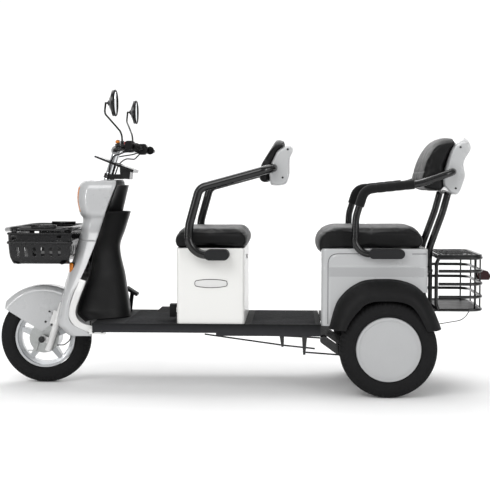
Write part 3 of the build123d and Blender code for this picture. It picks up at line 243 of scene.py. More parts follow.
# ---- materials ----------------------------------------------------------------------------------
def node(tree, kind, inputs=None, **props):
    """One shader node with its settings, values and links."""
    made = tree.nodes.new("ShaderNode" + kind)
    for key, value in props.items():
        setattr(made, key, value)
    for key, value in (inputs or {}).items():
        if isinstance(value, bpy.types.NodeSocket):
            tree.links.new(value, made.inputs[key])
        else:
            made.inputs[key].default_value = value
    return made


def finish(name, colour, roughness, metallic=0.0, tone=0.06, tone_mm=120.0, spread=0.08, grain_mm=0.0,
           grain_depth=0.0,
           cells=False, coat=0.0, ior=None, edge=0.0, edge_colour="#909090", ripple_mm=0.0,
           ripple_depth=0.0, sheen=0.0):
    """A material from one colour: slow tone change, roughness that varies, fine grain and worn edges."""
    made = bpy.data.materials.new(name)
    made.use_nodes = True
    tree = made.node_tree
    tree.nodes.clear()
    out = node(tree, "OutputMaterial")
    place = node(tree, "TexCoord").outputs["Object"]
    slow = node(tree, "TexNoise", {"Vector": place, "Scale": 1000.0 / tone_mm, "Detail": 4.0, "Roughness": 0.6})
    base = linear(colour) if isinstance(colour, str) else tuple(colour) + (1.0,)
    dark = tuple(c * (1 - tone) for c in base[:3]) + (1.0,)
    light = tuple(min(1.0, c * (1 + tone)) for c in base[:3]) + (1.0,)
    tint = node(tree, "Mix", {"Factor": slow.outputs["Fac"], 6: dark, 7: light}, data_type="RGBA").outputs[2]
    fine = node(tree, "TexNoise", {"Vector": place, "Scale": 4000.0 / tone_mm, "Detail": 6.0, "Roughness": 0.65})
    rough = node(tree, "MapRange", {"Value": fine.outputs["Fac"], "From Min": 0.3, "From Max": 0.7,
                                    "To Min": max(0.02, roughness - spread),
                                    "To Max": min(1.0, roughness + spread)})
    if edge:
        bent = node(tree, "NewGeometry").outputs["Pointiness"]
        ridge = node(tree, "MapRange",
                     {"Value": bent, "From Min": 0.52, "From Max": 0.60, "To Min": 0.0, "To Max": edge})
        tint = node(tree, "Mix", {"Factor": ridge.outputs["Result"], 6: tint, 7: linear(edge_colour)},
                    data_type="RGBA").outputs[2]
    shader = node(tree, "BsdfPrincipled", {"Base Color": tint, "Roughness": rough.outputs["Result"]})
    shader.inputs["Metallic"].default_value = metallic
    shader.inputs["Coat Weight"].default_value = coat
    shader.inputs["Coat Roughness"].default_value = 0.06
    shader.inputs["Sheen Weight"].default_value = sheen
    if max(base[:3]) < 0.03:
        shader.inputs["Specular IOR Level"].default_value = 0.38 if roughness < 0.3 else 0.2
    if ior:
        shader.inputs["IOR"].default_value = ior
    normal = None
    if grain_mm:
        if cells:
            grain = node(tree, "TexVoronoi", {"Vector": place, "Scale": 1000.0 / grain_mm}, feature="SMOOTH_F1")
            height = grain.outputs["Distance"]
        else:
            grain = node(tree, "TexNoise", {"Vector": place, "Scale": 1000.0 / grain_mm, "Detail": 2.0})
            height = grain.outputs["Fac"]
        normal = node(tree, "Bump",
                      {"Height": height, "Strength": 1.0, "Distance": grain_depth / 1000.0}).outputs["Normal"]
    if ripple_mm:
        wave = node(tree, "TexNoise", {"Vector": place, "Scale": 1000.0 / ripple_mm, "Detail": 1.5})
        inputs = {"Height": wave.outputs["Fac"], "Strength": 1.0, "Distance": ripple_depth / 1000.0}
        if normal:
            inputs["Normal"] = normal
        normal = node(tree, "Bump", inputs).outputs["Normal"]
    if normal:
        tree.links.new(normal, shader.inputs["Normal"])
    tree.links.new(shader.outputs["BSDF"], out.inputs["Surface"])
    return made


def lens(name, colour, roughness, transmission):
    """Clear or tinted moulded lens: light passes and bends at 1.5 to 1.58."""
    made = finish(name, colour, roughness, tone=0.03, spread=0.02, ior=1.58)
    shader = next(n for n in made.node_tree.nodes if n.type == "BSDF_PRINCIPLED")
    shader.inputs["Transmission Weight"].default_value = transmission
    return made


MAT = {}


def make_materials(colours):
    """Every finish of the object, by real material and process."""
    # Sprayed and lacquered ABS panels: pale silver grey with a wet clear coat and a faint orange peel.
    MAT["panel"] = finish("lacquered_abs_panel", colours.panel, 0.30, tone=0.03, tone_mm=300, spread=0.05,
                          coat=0.85,
                          ripple_mm=7.0, ripple_depth=0.02, ior=1.5)
    # The same lacquer one shade darker, which paints the dark reflection stripe across the rear body's sides.
    MAT["panel_dark"] = finish("lacquered_abs_painted_reflection", "#9C9D9E", 0.34, tone=0.03, tone_mm=300, spread=0.05, coat=0.7,
                               ripple_mm=7.0, ripple_depth=0.02, ior=1.5)
    # Powder-coated sheet steel box: clean white with the fine pebble of powder.
    MAT["white_sheet"] = finish("white_powder_coated_sheet", colours.box, 0.38, tone=0.025, tone_mm=260,
                                spread=0.06,
                                grain_mm=1.1, grain_depth=0.02, coat=0.3, edge=0.2, edge_colour="#C9C8C4")
    # White moulded trim: brighter than the lacquer and a little softer in its gloss.
    MAT["white_trim"] = finish("white_abs_trim", "#CFCFCE", 0.33, tone=0.02, spread=0.05, coat=0.4, ior=1.5)
    # Powder-coated steel tube: satin black with tiny pebble and greyed edges.
    MAT["black_tube"] = finish("black_powder_coated_tube", "#050506", 0.22, tone=0.14, tone_mm=90, spread=0.06,
                               grain_mm=0.9, grain_depth=0.006, coat=0.3, edge=0.15, edge_colour="#232325")
    # Smooth moulded polypropylene of the knee panel: soft satin.
    MAT["knee"] = finish("satin_polypropylene_panel", "#0B0B0C", 0.42, tone=0.10, tone_mm=150, spread=0.06,
                         grain_mm=1.0,
                         grain_depth=0.02, ior=1.49)
    # Glossier polypropylene of the carrier basket.
    MAT["basket"] = finish("polished_polypropylene_basket", "#08080A", 0.26, tone=0.10, tone_mm=90, spread=0.08,
                           ior=1.49)
    # Shadowed parting line between two mouldings.
    MAT["seam"] = finish("parting_line_shadow", "#4A4B4D", 0.7, tone=0.02)
    # Injection-moulded polypropylene: dull black with spark-eroded texture.
    MAT["black_moulding"] = finish("textured_polypropylene", "#0C0C0D", 0.58, tone=0.15, tone_mm=110, spread=0.08,
                                   grain_mm=0.8, grain_depth=0.05, edge=0.22, edge_colour="#3A3B3D", ior=1.49)
    # Smooth ABS housings: semi-gloss black.
    MAT["black_gloss"] = finish("smooth_black_abs", "#070708", 0.28, tone=0.12, spread=0.08, coat=0.2, ior=1.52)
    # Foamed nitrile sleeve: soft, dull, with open pores.
    MAT["foam"] = finish("nitrile_foam_sleeve", "#0D0D0E", 0.86, tone=0.2, tone_mm=40, grain_mm=0.7,
                         grain_depth=0.12,
                         cells=True, sheen=0.15)
    # Moulded rubber grips.
    MAT["grip"] = finish("moulded_grip_rubber", "#0C0C0D", 0.72, tone=0.15, tone_mm=40, grain_mm=0.6,
                         grain_depth=0.05)
    # Cured carbon-black tyre rubber with road dust in its hollows.
    MAT["tyre"] = finish("carbon_black_tyre_rubber", "#121213", 0.78, tone=0.28, tone_mm=45, spread=0.08,
                         grain_mm=0.7,
                         grain_depth=0.06, edge=0.30, edge_colour="#4A4947")
    # Anti-slip rubber mat on the foot boards.
    MAT["mat"] = finish("ribbed_rubber_mat", "#0D0E0F", 0.80, tone=0.25, tone_mm=70, grain_mm=1.0, grain_depth=0.08,
                        edge=0.35, edge_colour="#46464A")
    # Gravity-cast aluminium wheel under silver wheel lacquer.
    MAT["cast"] = finish("lacquered_cast_aluminium", "#A9ABAD", 0.34, metallic=0.85, tone=0.08, tone_mm=50,
                         spread=0.09,
                         grain_mm=0.6, grain_depth=0.03, coat=0.35, edge=0.2, edge_colour="#DADBDC")
    # Moulded wheel disc in grey.
    MAT["disc"] = finish("grey_abs_wheel_disc", "#A6A7A8", 0.36, tone=0.05, tone_mm=80, spread=0.08, coat=0.4,
                         ripple_mm=9.0, ripple_depth=0.03, ior=1.5)
    # Zinc-plated steel fasteners: cool grey, faintly clouded.
    MAT["zinc"] = finish("zinc_plated_steel", "#A5A7A6", 0.36, metallic=1.0, tone=0.16, tone_mm=14, spread=0.12,
                         grain_mm=0.5, grain_depth=0.01)
    # Chromed steel tube: nearly a mirror with hairline wipe marks round it.
    MAT["chrome"] = finish("chromed_steel", "#DADCDE", 0.09, metallic=1.0, tone=0.04, tone_mm=60, spread=0.05)
    # PVC-coated seat cloth: embossed leather grain, soft sheen and slow wrinkles.
    MAT["vinyl"] = finish("embossed_pvc_seat_cover", "#060607", 0.50, tone=0.14, tone_mm=130, spread=0.09,
                          grain_mm=2.2,
                          grain_depth=0.16, cells=True, ripple_mm=38.0, ripple_depth=0.7, ior=1.52)
    # PVC cable sheath.
    MAT["sheath"] = finish("pvc_cable_sheath", "#08080A", 0.42, tone=0.1, spread=0.06, ior=1.53)
    MAT["battery"] = finish("moulded_battery_case", "#26272A", 0.5, grain_mm=1.2, grain_depth=0.05)
    # Silvered glass of the mirrors.
    MAT["mirror"] = finish("silvered_mirror_glass", "#E3E6E8", 0.03, metallic=1.0, tone=0.0, spread=0.01)
    # Pressed reflector behind the lamp lens.
    MAT["bright"] = finish("metallised_lamp_bowl", "#D5D7DA", 0.12, metallic=1.0, tone=0.02, spread=0.04)
    MAT["clear"] = lens("clear_polycarbonate_lens", "#F2F4F6", 0.04, 0.92)
    MAT["amber"] = lens("amber_acrylic_lens", "#E8860C", 0.16, 0.35)
    MAT["red"] = lens("red_acrylic_lens", "#B01010", 0.14, 0.30)
    MAT["smoked"] = lens("smoked_red_lamp_lens", "#2E0507", 0.10, 0.25)


CAD_FINISH = {
    "white_trim": ("fork_sliders", "shield_trim"),
    "zinc": ("front_axle", "front_brake_arm", "headset_bearings"),
    "sheath": ("front_brake_cable", "control_cables"),
    "panel": ("front_fender", "front_cowl", "front_shield", "front_backrest_shell", "rear_body",
              "rear_backrest_shell"),
    "tyre": ("front_tyre", "left_rear_tyre", "right_rear_tyre"),
    "cast": ("front_rim",),
    "chrome": ("fork_upper", "handlebar_stem"),
    "black_tube": ("handlebar", "left_brake_lever", "right_brake_lever", "mirror_stems", "head_tube", "frame_rails",
                   "frame_crossmembers", "rear_subframe", "basket_bracket", "front_armrest_frame",
                   "rear_armrest_frame",
                   "rear_basket", "rear_basket_lid", "parking_lever", "rear_axle", "rear_shocks"),
    "grip": ("left_grip", "throttle_grip"),
    "black_gloss": ("seat_lock", "brake_rods", "switch_pods", "left_mirror", "right_mirror", "dash_panel",
                    "inner_leg_panel"),
    "mat": ("floor_board",),
    "black_moulding": ("front_basket", "arm_covers", "fender_flares", "brake_pedal"),
    "clear": ("headlight_lens",),
    "white_sheet": ("front_seat_box",),
    "battery": ("battery_pack",),
    "vinyl": ("front_seat_cushion", "rear_seat_cushion", "front_backrest_pad", "rear_backrest_pad"),
    "foam": ("arm_grips",),
    "smoked": ("tail_lamp",),
    "disc": ("left_rear_wheel", "right_rear_wheel"),
}


def dress_frame():
    """Gives every CAD node that stays its real finish."""
    for key, names in CAD_FINISH.items():
        material = MAT[key]
        for name in names:
            obj = frame["nodes"][name]
            for slot in obj.material_slots:
                slot.material = material
            if not obj.material_slots:
                obj.data.materials.append(material)


# ---- wheels -------------------------------------------------------------------------------------
def tyre_surface(name, x, y, body, cad_node, depth):
    """Tyre: r = 165 + 38 |cos v|^0.8 and across = 40 |sin v|^0.8 over v from -132 to 132 degrees, less the
    tread's zigzag grooves and shoulder cuts, closed by an inner arc 8 mm inside."""
    around, section = 600, 84
    u = np.linspace(0, 2 * np.pi, around, endpoint=False)[:, None]
    v = np.radians(np.linspace(-132, 132, section))[None]
    across = 40 * np.sign(np.sin(v)) * np.abs(np.sin(v)) ** 0.8 + 0 * u
    radius = 165 + 38 * np.sign(np.cos(v)) * np.abs(np.cos(v)) ** 0.8 + 0 * u
    zigzag = np.abs((u * 60 / np.pi) % 2 - 1) * 6 - 3
    cut = sum(np.exp(-((across - line - zigzag) / 1.5) ** 4) for line in (-13.0, 0.0, 13.0))
    bars = np.clip(np.sin(u * 60 + np.abs(across) * 0.12) * 3 - 1.6, 0, 1)
    shoulder = bars * np.clip((np.abs(across) - 17) / 3, 0, 1) * np.clip((radius - 176) / 6, 0, 1)
    radius = radius - depth * np.clip(cut * (radius > 190) + shoulder, 0, 1)
    ring = np.exp(-((radius - 152) / 1.2) ** 2) + np.exp(-((radius - 173) / 1.0) ** 2)
    across = across + np.sign(v) * 0.9 * ring
    w = np.radians(np.linspace(132, -132, 26))[None]
    inner_across = 29 * np.sin(w) + 0 * u
    inner_radius = 163 + 30 * np.cos(w) + 0 * u
    across = np.concatenate([across, inner_across], axis=1)
    radius = np.concatenate([radius, inner_radius], axis=1)
    points = mm(x + radius * np.sin(u), y + across, WHEEL_Z + radius * np.cos(u))
    obj = surface(name, points, body, MAT["tyre"], wrap_rows=True, wrap_columns=True)
    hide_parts(cad_node)


def hex_nut(name, x, y, z, side, across, height, body):
    """Nut or cap: hexagon blended to a washer face along Y."""
    rows = np.array([0.0, 0.0, 0.08, 0.85, 1.0, 1.0])
    scale = np.array([0.0, 1.12, 1.0, 1.0, 0.88, 0.0])
    angle = np.linspace(0, 2 * np.pi, 49)[:-1]
    corner = 1 / np.cos((angle % (np.pi / 3)) - np.pi / 6)
    radius = across / 2 * corner[None] * scale[:, None]
    points = mm(x + radius * np.cos(angle), y + side * height * rows[:, None], z + radius * np.sin(angle))
    return surface(name, points, body, MAT["zinc"], wrap_columns=True)


def screw(name, centre, axis, size, body, material):
    """Domed screw head with a round socket: a lathe of its side outline."""
    r = size / 2
    outline = [(0, 0), (0, r), (0.35 * r, r), (0.62 * r, 0.8 * r), (0.74 * r, 0.42 * r), (0.72 * r, 0.36 * r),
               (0.4 * r, 0.33 * r),
               (0.4 * r, 0)]
    return lathe(name, outline, centre, axis, body, material, around=28)


def make_wheels(sizes):
    """Three tyres with tread, and the nuts, stud ends and caps of the front axle."""
    depth = sizes.tread_depth * 1000
    tyre_surface("front_tyre_tread", 0, 0, "front_wheel", "front_tyre", depth)
    tyre_surface("left_tyre_tread", REAR_AXLE_X, -REAR_TRACK, "left_wheel", "left_rear_tyre", depth)
    tyre_surface("right_tyre_tread", REAR_AXLE_X, REAR_TRACK, "right_wheel", "right_rear_tyre", depth)
    for side in (-1, 1):
        nut = hex_nut("axle_nut", 0, side * 82, WHEEL_Z, side, 24, 12, "fork_slide")
        stud = lathe("axle_end", [(0, 0), (0, 6), (20, 6), (21.5, 4.6), (21.5, 0)], mm(0, side * 82, WHEEL_Z),
                     (0, side, 0),
                     "fork_slide", MAT["zinc"], 24)
        cap = lathe("axle_cap", [(0, 0), (0, 14), (10, 14), (14, 11), (16, 5), (16.2, 0)],
                    mm(0, side * 90, WHEEL_Z), (0, side, 0),
                    "fork_slide", MAT["black_gloss"], 40)
        merge(("left" if side < 0 else "right") + "_axle_nut", [nut, stud, cap])


# ---- soft pieces --------------------------------------------------------------------------------
def outline_block(outline, half, inset, count=130, stations=61, tall=None):
    """Side outline carried across: at y it shrinks to its centre by
    inset (1 - (1 - |y/half|^7)^(1/3))."""
    line = even(rounded_line(np.concatenate([outline, outline[:1]]), 18), count, closed=True)
    centre = line.mean(axis=0)
    y = half * np.sin(np.linspace(-np.pi / 2, np.pi / 2, stations))
    left = 1 - (1 - np.minimum(np.abs(y / half), 1) ** 7) ** (1 / 3)
    reach = np.linalg.norm(line - centre, axis=1)[None, :, None]
    shrink = 1 - np.minimum(inset * left[:, None, None] / reach, 0.9)
    section = centre + (line - centre)[None] * shrink
    if tall:
        low, high, drop = tall
        bow = drop * (np.abs(y / half) ** 3.0)[:, None]
        share = np.clip((section[..., 1] - low) / (high - low), 0, 1) ** 2
        section[..., 1] = section[..., 1] - bow * share
    return mm(section[..., 0], np.broadcast_to(y[:, None], section.shape[:2]), section[..., 1])


DRIVER_CUSHION = np.array([(588, 658), (590, 630), (598, 619), (914, 619), (924, 632), (927, 660), (915, 682),
                           (884, 692),
                           (640, 692), (606, 682)], float)
PASSENGER_CUSHION = np.array([(1198, 638), (1198, 602), (1210, 588), (1230, 592), (1254, 618), (1656, 618),
                              (1668, 632),
                              (1666, 656), (1646, 682), (1606, 697), (1276, 697), (1230, 684), (1206, 662)], float)


def cushion_block(outline, half, inset, tall):
    """Side outline carried across: at y it shrinks by inset
    (1 - (1 - |y/half|^4)^(1/2)), and its top bows down with |y/half|^3."""
    line = even(rounded_line(np.concatenate([outline, outline[:1]]), 16), 150, closed=True)
    centre = line.mean(axis=0)
    y = half * np.sin(np.linspace(-np.pi / 2, np.pi / 2, 81))
    share = np.minimum(np.abs(y / half), 1)
    left = 1 - (1 - share ** 4) ** 0.5
    reach = np.linalg.norm(line - centre, axis=1)[None, :, None]
    section = centre + (line - centre)[None] * (1 - np.minimum(inset * left[:, None, None] / reach, 0.9))
    low, high, drop = tall
    bow = drop * (share ** 3)[:, None] * np.clip((section[..., 1] - low) / (high - low), 0, 1) ** 2
    return mm(section[..., 0], np.broadcast_to(y[:, None], section.shape[:2]), section[..., 1] - bow)


def evaluated(obj):
    """The mesh of an object with its modifiers worked out."""
    graph = bpy.context.evaluated_depsgraph_get()
    return bpy.data.meshes.new_from_object(obj.evaluated_get(graph), depsgraph=graph)


def coordinates(mesh):
    """Vertex positions of a mesh as one array."""
    values = np.empty(len(mesh.vertices) * 3)
    mesh.vertices.foreach_get("co", values)
    return values.reshape(-1, 3)


def puff(obj, voxel, cap, pressure):
    """Cushion filling: the blank is remeshed and blown up as cloth, and no point moves further than cap mm."""
    remesh = obj.modifiers.new("remesh", "REMESH")
    remesh.mode = "VOXEL"
    remesh.voxel_size = voxel / 1000.0
    remesh.use_smooth_shade = True
    mesh = evaluated(obj)
    obj.modifiers.clear()
    old = obj.data
    obj.data = mesh
    bpy.data.meshes.remove(old)
    rest = coordinates(obj.data)
    scene = bpy.context.scene
    scene.frame_set(1)
    cloth = obj.modifiers.new("cloth", "CLOTH")
    cloth.settings.use_pressure = True
    cloth.settings.uniform_pressure_force = pressure
    cloth.settings.effector_weights.gravity = 0.0
    cloth.settings.quality = 5
    cloth.settings.mass = 0.3
    cloth.settings.tension_stiffness = 15.0
    cloth.settings.compression_stiffness = 15.0
    cloth.settings.bending_stiffness = 0.6
    cloth.point_cache.frame_start = 1
    cloth.point_cache.frame_end = 20
    for step in range(1, 21):
        scene.frame_set(step)
    blown = evaluated(obj)
    moved = coordinates(blown) - rest
    bpy.data.meshes.remove(blown)
    obj.modifiers.clear()
    scene.frame_set(1)
    size = np.linalg.norm(moved, axis=1)[:, None]
    rest = rest + moved * np.minimum(1.0, cap / 1000.0 / np.maximum(size, 1e-9))
    return rest


def store(obj, points):
    """Puts positions back into an object's mesh."""
    obj.data.vertices.foreach_set("co", points.ravel())
    obj.data.update()


def make_pad(name, blank, body, cad_node, cap, box, seams, sizes):
    """A stuffed pad from a blank: puffed, subdivided, held in its space and drawn in along its seams."""
    obj = surface(name, blank, body, MAT["vinyl"], wrap_columns=True, caps=True)
    points = puff(obj, 6.0, cap, sizes.pressure)
    low, high = box
    points = np.clip(points, low, high)
    store(obj, points)
    fine = obj.modifiers.new("fine", "SUBSURF")
    fine.levels = fine.render_levels = 1
    mesh = evaluated(obj)
    obj.modifiers.clear()
    obj.data = mesh
    mesh.shade_smooth()
    points = coordinates(mesh)
    normals = np.empty(len(points) * 3)
    mesh.vertices.foreach_get("normal", normals)
    normals = normals.reshape(-1, 3)
    for seam in seams:
        points = points - normals * seam(points, normals)[:, None] / 1000.0
    store(obj, points)
    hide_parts(cad_node)
    return obj


def level_seam(z, depth, width=3.0):
    """Groove round the sides at one height, with a raised welt just above it."""
    def pull(points, normals):
        side = np.clip(1.4 - np.abs(normals[:, 2]) * 1.3, 0, 1)
        away = points[:, 2] * 1000 - z
        groove = depth * np.exp(-(away / width) ** 2) - 0.35 * depth * np.exp(-((away - 2.4 * width) / width) ** 2)
        return groove * side
    return pull


def line_seam(along, at, depth, width=3.0, facing=2, sign=1):
    """Groove on a face that looks along one axis, where the coordinate along equals at."""
    def pull(points, normals):
        away = points[:, along] * 1000 - at
        face = np.clip(normals[:, facing] * sign * 2.0 - 0.4, 0, 1)
        return depth * np.exp(-(away / width) ** 2) * face
    return pull


def make_cushions(sizes):
    """Driver's and passengers' seat cushions and both back pads."""
    low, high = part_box("front_seat_cushion")
    box = (np.array(low) - 0.024, np.array(high) + 0.006)
    box[0][2] = low[2]
    make_pad("driver_seat_cushion", cushion_block(DRIVER_CUSHION, 240, 17, (660, 702, 7)), "front_seat",
             "front_seat_cushion",
                     12, box, [level_seam(676, 2.2), level_seam(634, 1.2, 3.0)], sizes)
    low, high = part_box("rear_seat_cushion")
    box = (np.array(low) - 0.008, np.array(high) + 0.014)
    rear = make_pad("passenger_seat_cushion", cushion_block(PASSENGER_CUSHION, 236, 20, (660, 712, 8)), "rear_seat",
                    "rear_seat_cushion",
                    12, box, [level_seam(680, 2.2), line_seam(0, 1432 - AXLE_X * 1000, 1.4, 4.0)], sizes)
    flat_under(rear, 1232, 617.6)
    outline = np.array([(966, 892), (966, 930), (976, 970), (1044, 1083), (1084, 1073), (1034, 1046), (1006, 984),
                        (994, 938),
                        (1002, 884)], float)
    low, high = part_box("front_backrest_pad")
    make_pad("driver_back_pad", outline_block(outline, 214, 16, tall=(880, 1085, 26)), "chassis",
             "front_backrest_pad", 9,
                    (np.array(low) - 0.008, np.array(high) + 0.006), [], sizes)
    outline = np.array([(1732, 848), (1648, 862), (1652, 915), (1668, 980), (1690, 1030), (1718, 1070),
                        (1756, 1086), (1798, 1090),
                        (1770, 1062), (1752, 1018), (1736, 952)], float)
    low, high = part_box("rear_backrest_pad")
    make_pad("passenger_back_pad", outline_block(outline, 214, 18, tall=(870, 1090, 26)), "chassis",
             "rear_backrest_pad", 9,
                    (np.array(low) - 0.008, np.array(high) + 0.006),
             [line_seam(2, 940, 1.6, 4.0, facing=0, sign=-1)], sizes)


def flat_under(obj, x, z):
    """Keeps the part of a cushion behind x above the height z, where it lies on its box."""
    points = coordinates(obj.data)
    behind = points[:, 0] > x / 1000.0 - AXLE_X
    points[behind, 2] = np.maximum(points[behind, 2], z / 1000.0)
    store(obj, points)


def make_backs(sizes):
    """Moulded shells behind both back pads, with their recessed screws."""
    front = np.array([(1006, 880), (998, 938), (1010, 984), (1038, 1046), (1088, 1074), (1108, 1046), (1092, 1004),
                      (1092, 930),
                      (1078, 882), (1034, 876)], float)
    shell = surface("driver_back_shell", outline_block(front, 218, 16, tall=(880, 1085, 26)), "chassis",
                    MAT["panel"],
                    wrap_columns=True, caps=True)
    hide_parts("front_backrest_shell")
    rear = np.array([(1728, 884), (1740, 952), (1756, 1018), (1773, 1064), (1812, 1091), (1837, 1086), (1849, 1058),
                     (1824, 1010),
                     (1818, 980), (1826, 918), (1804, 857), (1792, 838), (1763, 843)], float)
    shell = surface("passenger_back_shell", outline_block(rear, 218, 16, tall=(840, 1090, 26)), "chassis",
                    MAT["panel"],
                    wrap_columns=True, caps=True)
    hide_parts("rear_backrest_shell")
    heads = []
    for side in (-1, 1):
        for x, z in ((1081, 1032), (1060, 914), (1782, 869), (1800, 1040)):
            heads.append(screw("screw", mm(x, side * 217.2, z), (0, side, 0), 9, "chassis", MAT["black_gloss"]))
    merge("back_shell_screws", heads)


# ---- front bodywork -----------------------------------------------------------------------------
COWL = [(640.5, 157, 222, 252, 125), (664, 163, 226, 261, 115), (690, 169, 230, 268, 110),
        (738, 177, 238, 284, 115),
        (755, 166, 232, 290, 127), (786, 158, 224, 301, 131), (819, 153, 220, 314, 132), (852, 155, 222, 327, 130),
        (878, 162, 228, 337, 125), (890, 172, 234, 338, 117), (899, 189, 245, 337, 106), (903, 214, 258, 335, 86)]
SHIELD = [(240, 112, 186, 250, 230), (254, 98, 172, 236, 230), (290, 70, 140, 166, 230), (351, 85, 142, 152, 228),
          (413, 98, 158, 166, 222), (480, 112, 182, 196, 200), (526, 125, 196, 214, 175), (573, 140, 206, 229, 150),
          (639.5, 157, 222, 252, 125)]


def front_rows(table, heights, columns, middle):
    """Front skin: x = front + (corner - front)(1 - (1 - |y/half|^2.3)^0.5), then straight back to the rear edge.
    The columns inside +-middle keep their y at every height, so an opening can be cut along them."""
    rows = smooth_rows(table, heights)
    front, corner, rear, half = (rows[:, k][:, None] for k in range(4))
    inner = np.linspace(-1, 1, columns)[None]
    centre = inner * np.minimum(middle, half * 0.98)
    s = np.sin(np.linspace(0, np.pi / 2, columns))[None, 1:]
    mid = np.minimum(middle, half * 0.98)
    outer = mid + (half - mid) * s
    y = np.concatenate([-outer[:, ::-1], centre, outer], axis=1)
    x = front + (corner - front) * (1 - np.maximum(1 - np.abs(y / half) ** 2.3, 0) ** 0.5)
    back = np.linspace(0, 1, 7)[None, 1:]
    side = corner + (rear - corner) * back
    x = np.concatenate([side[:, ::-1], x, side], axis=1)
    y = np.concatenate([-half + 0 * side, y, half + 0 * side], axis=1)
    return mm(x, y, heights[:, None] + 0 * x), y


def cut_surface(name, points, keep, body, material, thick):
    """Surface from the grid cells named in keep, with a wall thickness towards the inside."""
    rows, columns = points.shape[:2]
    faces = np.array(grid_faces(rows, columns)).reshape(rows - 1, columns - 1, 4)
    faces = faces[keep]
    used, index = np.unique(faces, return_inverse=True)
    obj = new_object(name, points.reshape(-1, 3)[used], index.reshape(-1, 4).tolist(), body, material)
    wall = obj.modifiers.new("wall", "SOLIDIFY")
    wall.thickness = thick / 1000.0
    wall.offset = 1.0
    return obj


def cell_centres(values):
    """Mean of each grid cell's four corners."""
    return (values[:-1, :-1] + values[1:, :-1] + values[:-1, 1:] + values[1:, 1:]) / 4


def make_front_body(sizes):
    """Nacelle with its lamp, leg shield with the fork arch, and the side reflectors."""
    heights = np.unique(np.concatenate([np.linspace(640.5, 766, 26), np.linspace(766, 874, 26),
                                        np.linspace(874, 903, 14)]))
    points, y = front_rows(COWL, heights, 21, 96.0)
    z = cell_centres(points[..., 2]) * 1000
    across = np.abs(cell_centres(y))
    window = (z > 766) & (z < 874) & (across < 96)
    cowl = cut_surface("nacelle_skin", points, ~window, "chassis", MAT["panel"], -2.6)
    low, high = points[-1], points[-1].mean(axis=0)
    share = np.linspace(0, 1, 10)[:, None, None]
    lid = low[None] * (1 - share) + high * share
    lid[..., 2] = low[..., 2][None] - 0.004 * share[..., 0] ** 2
    ring = lid[:-1]
    hole = np.linalg.norm(ring[..., :2] - mm(283, 0, 0)[:2], axis=-1)
    cap = cut_surface("nacelle_top", ring, cell_centres(hole) > 0.024, "chassis", MAT["panel"], -2.4)
    merge("nacelle", [cowl, cap])
    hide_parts("front_cowl")
    clear = cut_surface("lamp_lens", points, window & (across < 66), "chassis", MAT["clear"], -2.5)
    amber = cut_surface("indicator_lenses", points, window & (across > 66), "chassis", MAT["amber"], -2.5)
    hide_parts("headlight_lens")
    bowl = [(0, 0), (0, 14), (6, 34), (18, 46), (30, 50), (30, 52), (16, 48), (4, 36), (-2, 14), (-2, 0)]
    lathe("lamp_bowl", bowl, mm(206, 0, 820), (-1, 0, 0), "chassis", MAT["bright"])
    lathe("lamp_bulb", [(0, 0), (0, 7), (14, 7), (20, 4), (22, 0)], mm(204, 0, 820), (-1, 0, 0), "chassis",
          MAT["clear"], 24)
    heights = np.unique(np.concatenate([np.linspace(240, 482, 50), np.linspace(482, 639.5, 34)]))
    points, y = front_rows(SHIELD, heights, 25, 128.0)
    z = cell_centres(points[..., 2]) * 1000
    across = np.abs(cell_centres(y))
    arch = (z < 482) & (across < 128)
    shield = cut_surface("leg_shield_skin", points, ~arch, "chassis", MAT["panel"], -3.0)
    liner = arch_liner()
    merge("leg_shield", [shield, liner])
    shield = bpy.data.objects["leg_shield"]
    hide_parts("front_shield")
    side_reflectors()


def arch_liner():
    """Tunnel behind the arch: the arch's outline carried from the skin's front back to x 220."""
    outline = rounded_line(np.array([(-128, 240), (-128, 482), (128, 482), (128, 240)], float), 40)
    outline = even(outline, 90)
    rows = smooth_rows(SHIELD, np.clip(outline[:, 1], 240, 639))
    front, corner, half = rows[:, 0], rows[:, 1], rows[:, 3]
    lip = front + (corner - front) * (1 - (1 - np.abs(outline[:, 0] / half) ** 2.3) ** 0.5) + 1.0
    t = np.linspace(0, 1, 20)[:, None]
    x = lip * (1 - t) + 220 * t
    tunnel = mm(x, outline[:, 0] + 0 * t, outline[:, 1] + 0 * t)
    sheet = surface("arch_tunnel", tunnel, "chassis", MAT["panel"], thick=2.5)
    wall_y = np.linspace(-1, 1, 40)[None] * np.interp(np.linspace(240, 482, 30), [240, 442, 482],
                                                      [128, 128, 100])[:, None]
    wall = surface("arch_wall", mm(220 + 0 * wall_y, wall_y, np.linspace(240, 482, 30)[:, None] + 0 * wall_y),
                   "chassis",
                   MAT["black_moulding"], thick=2.5)
    return merge("arch", [sheet, wall])


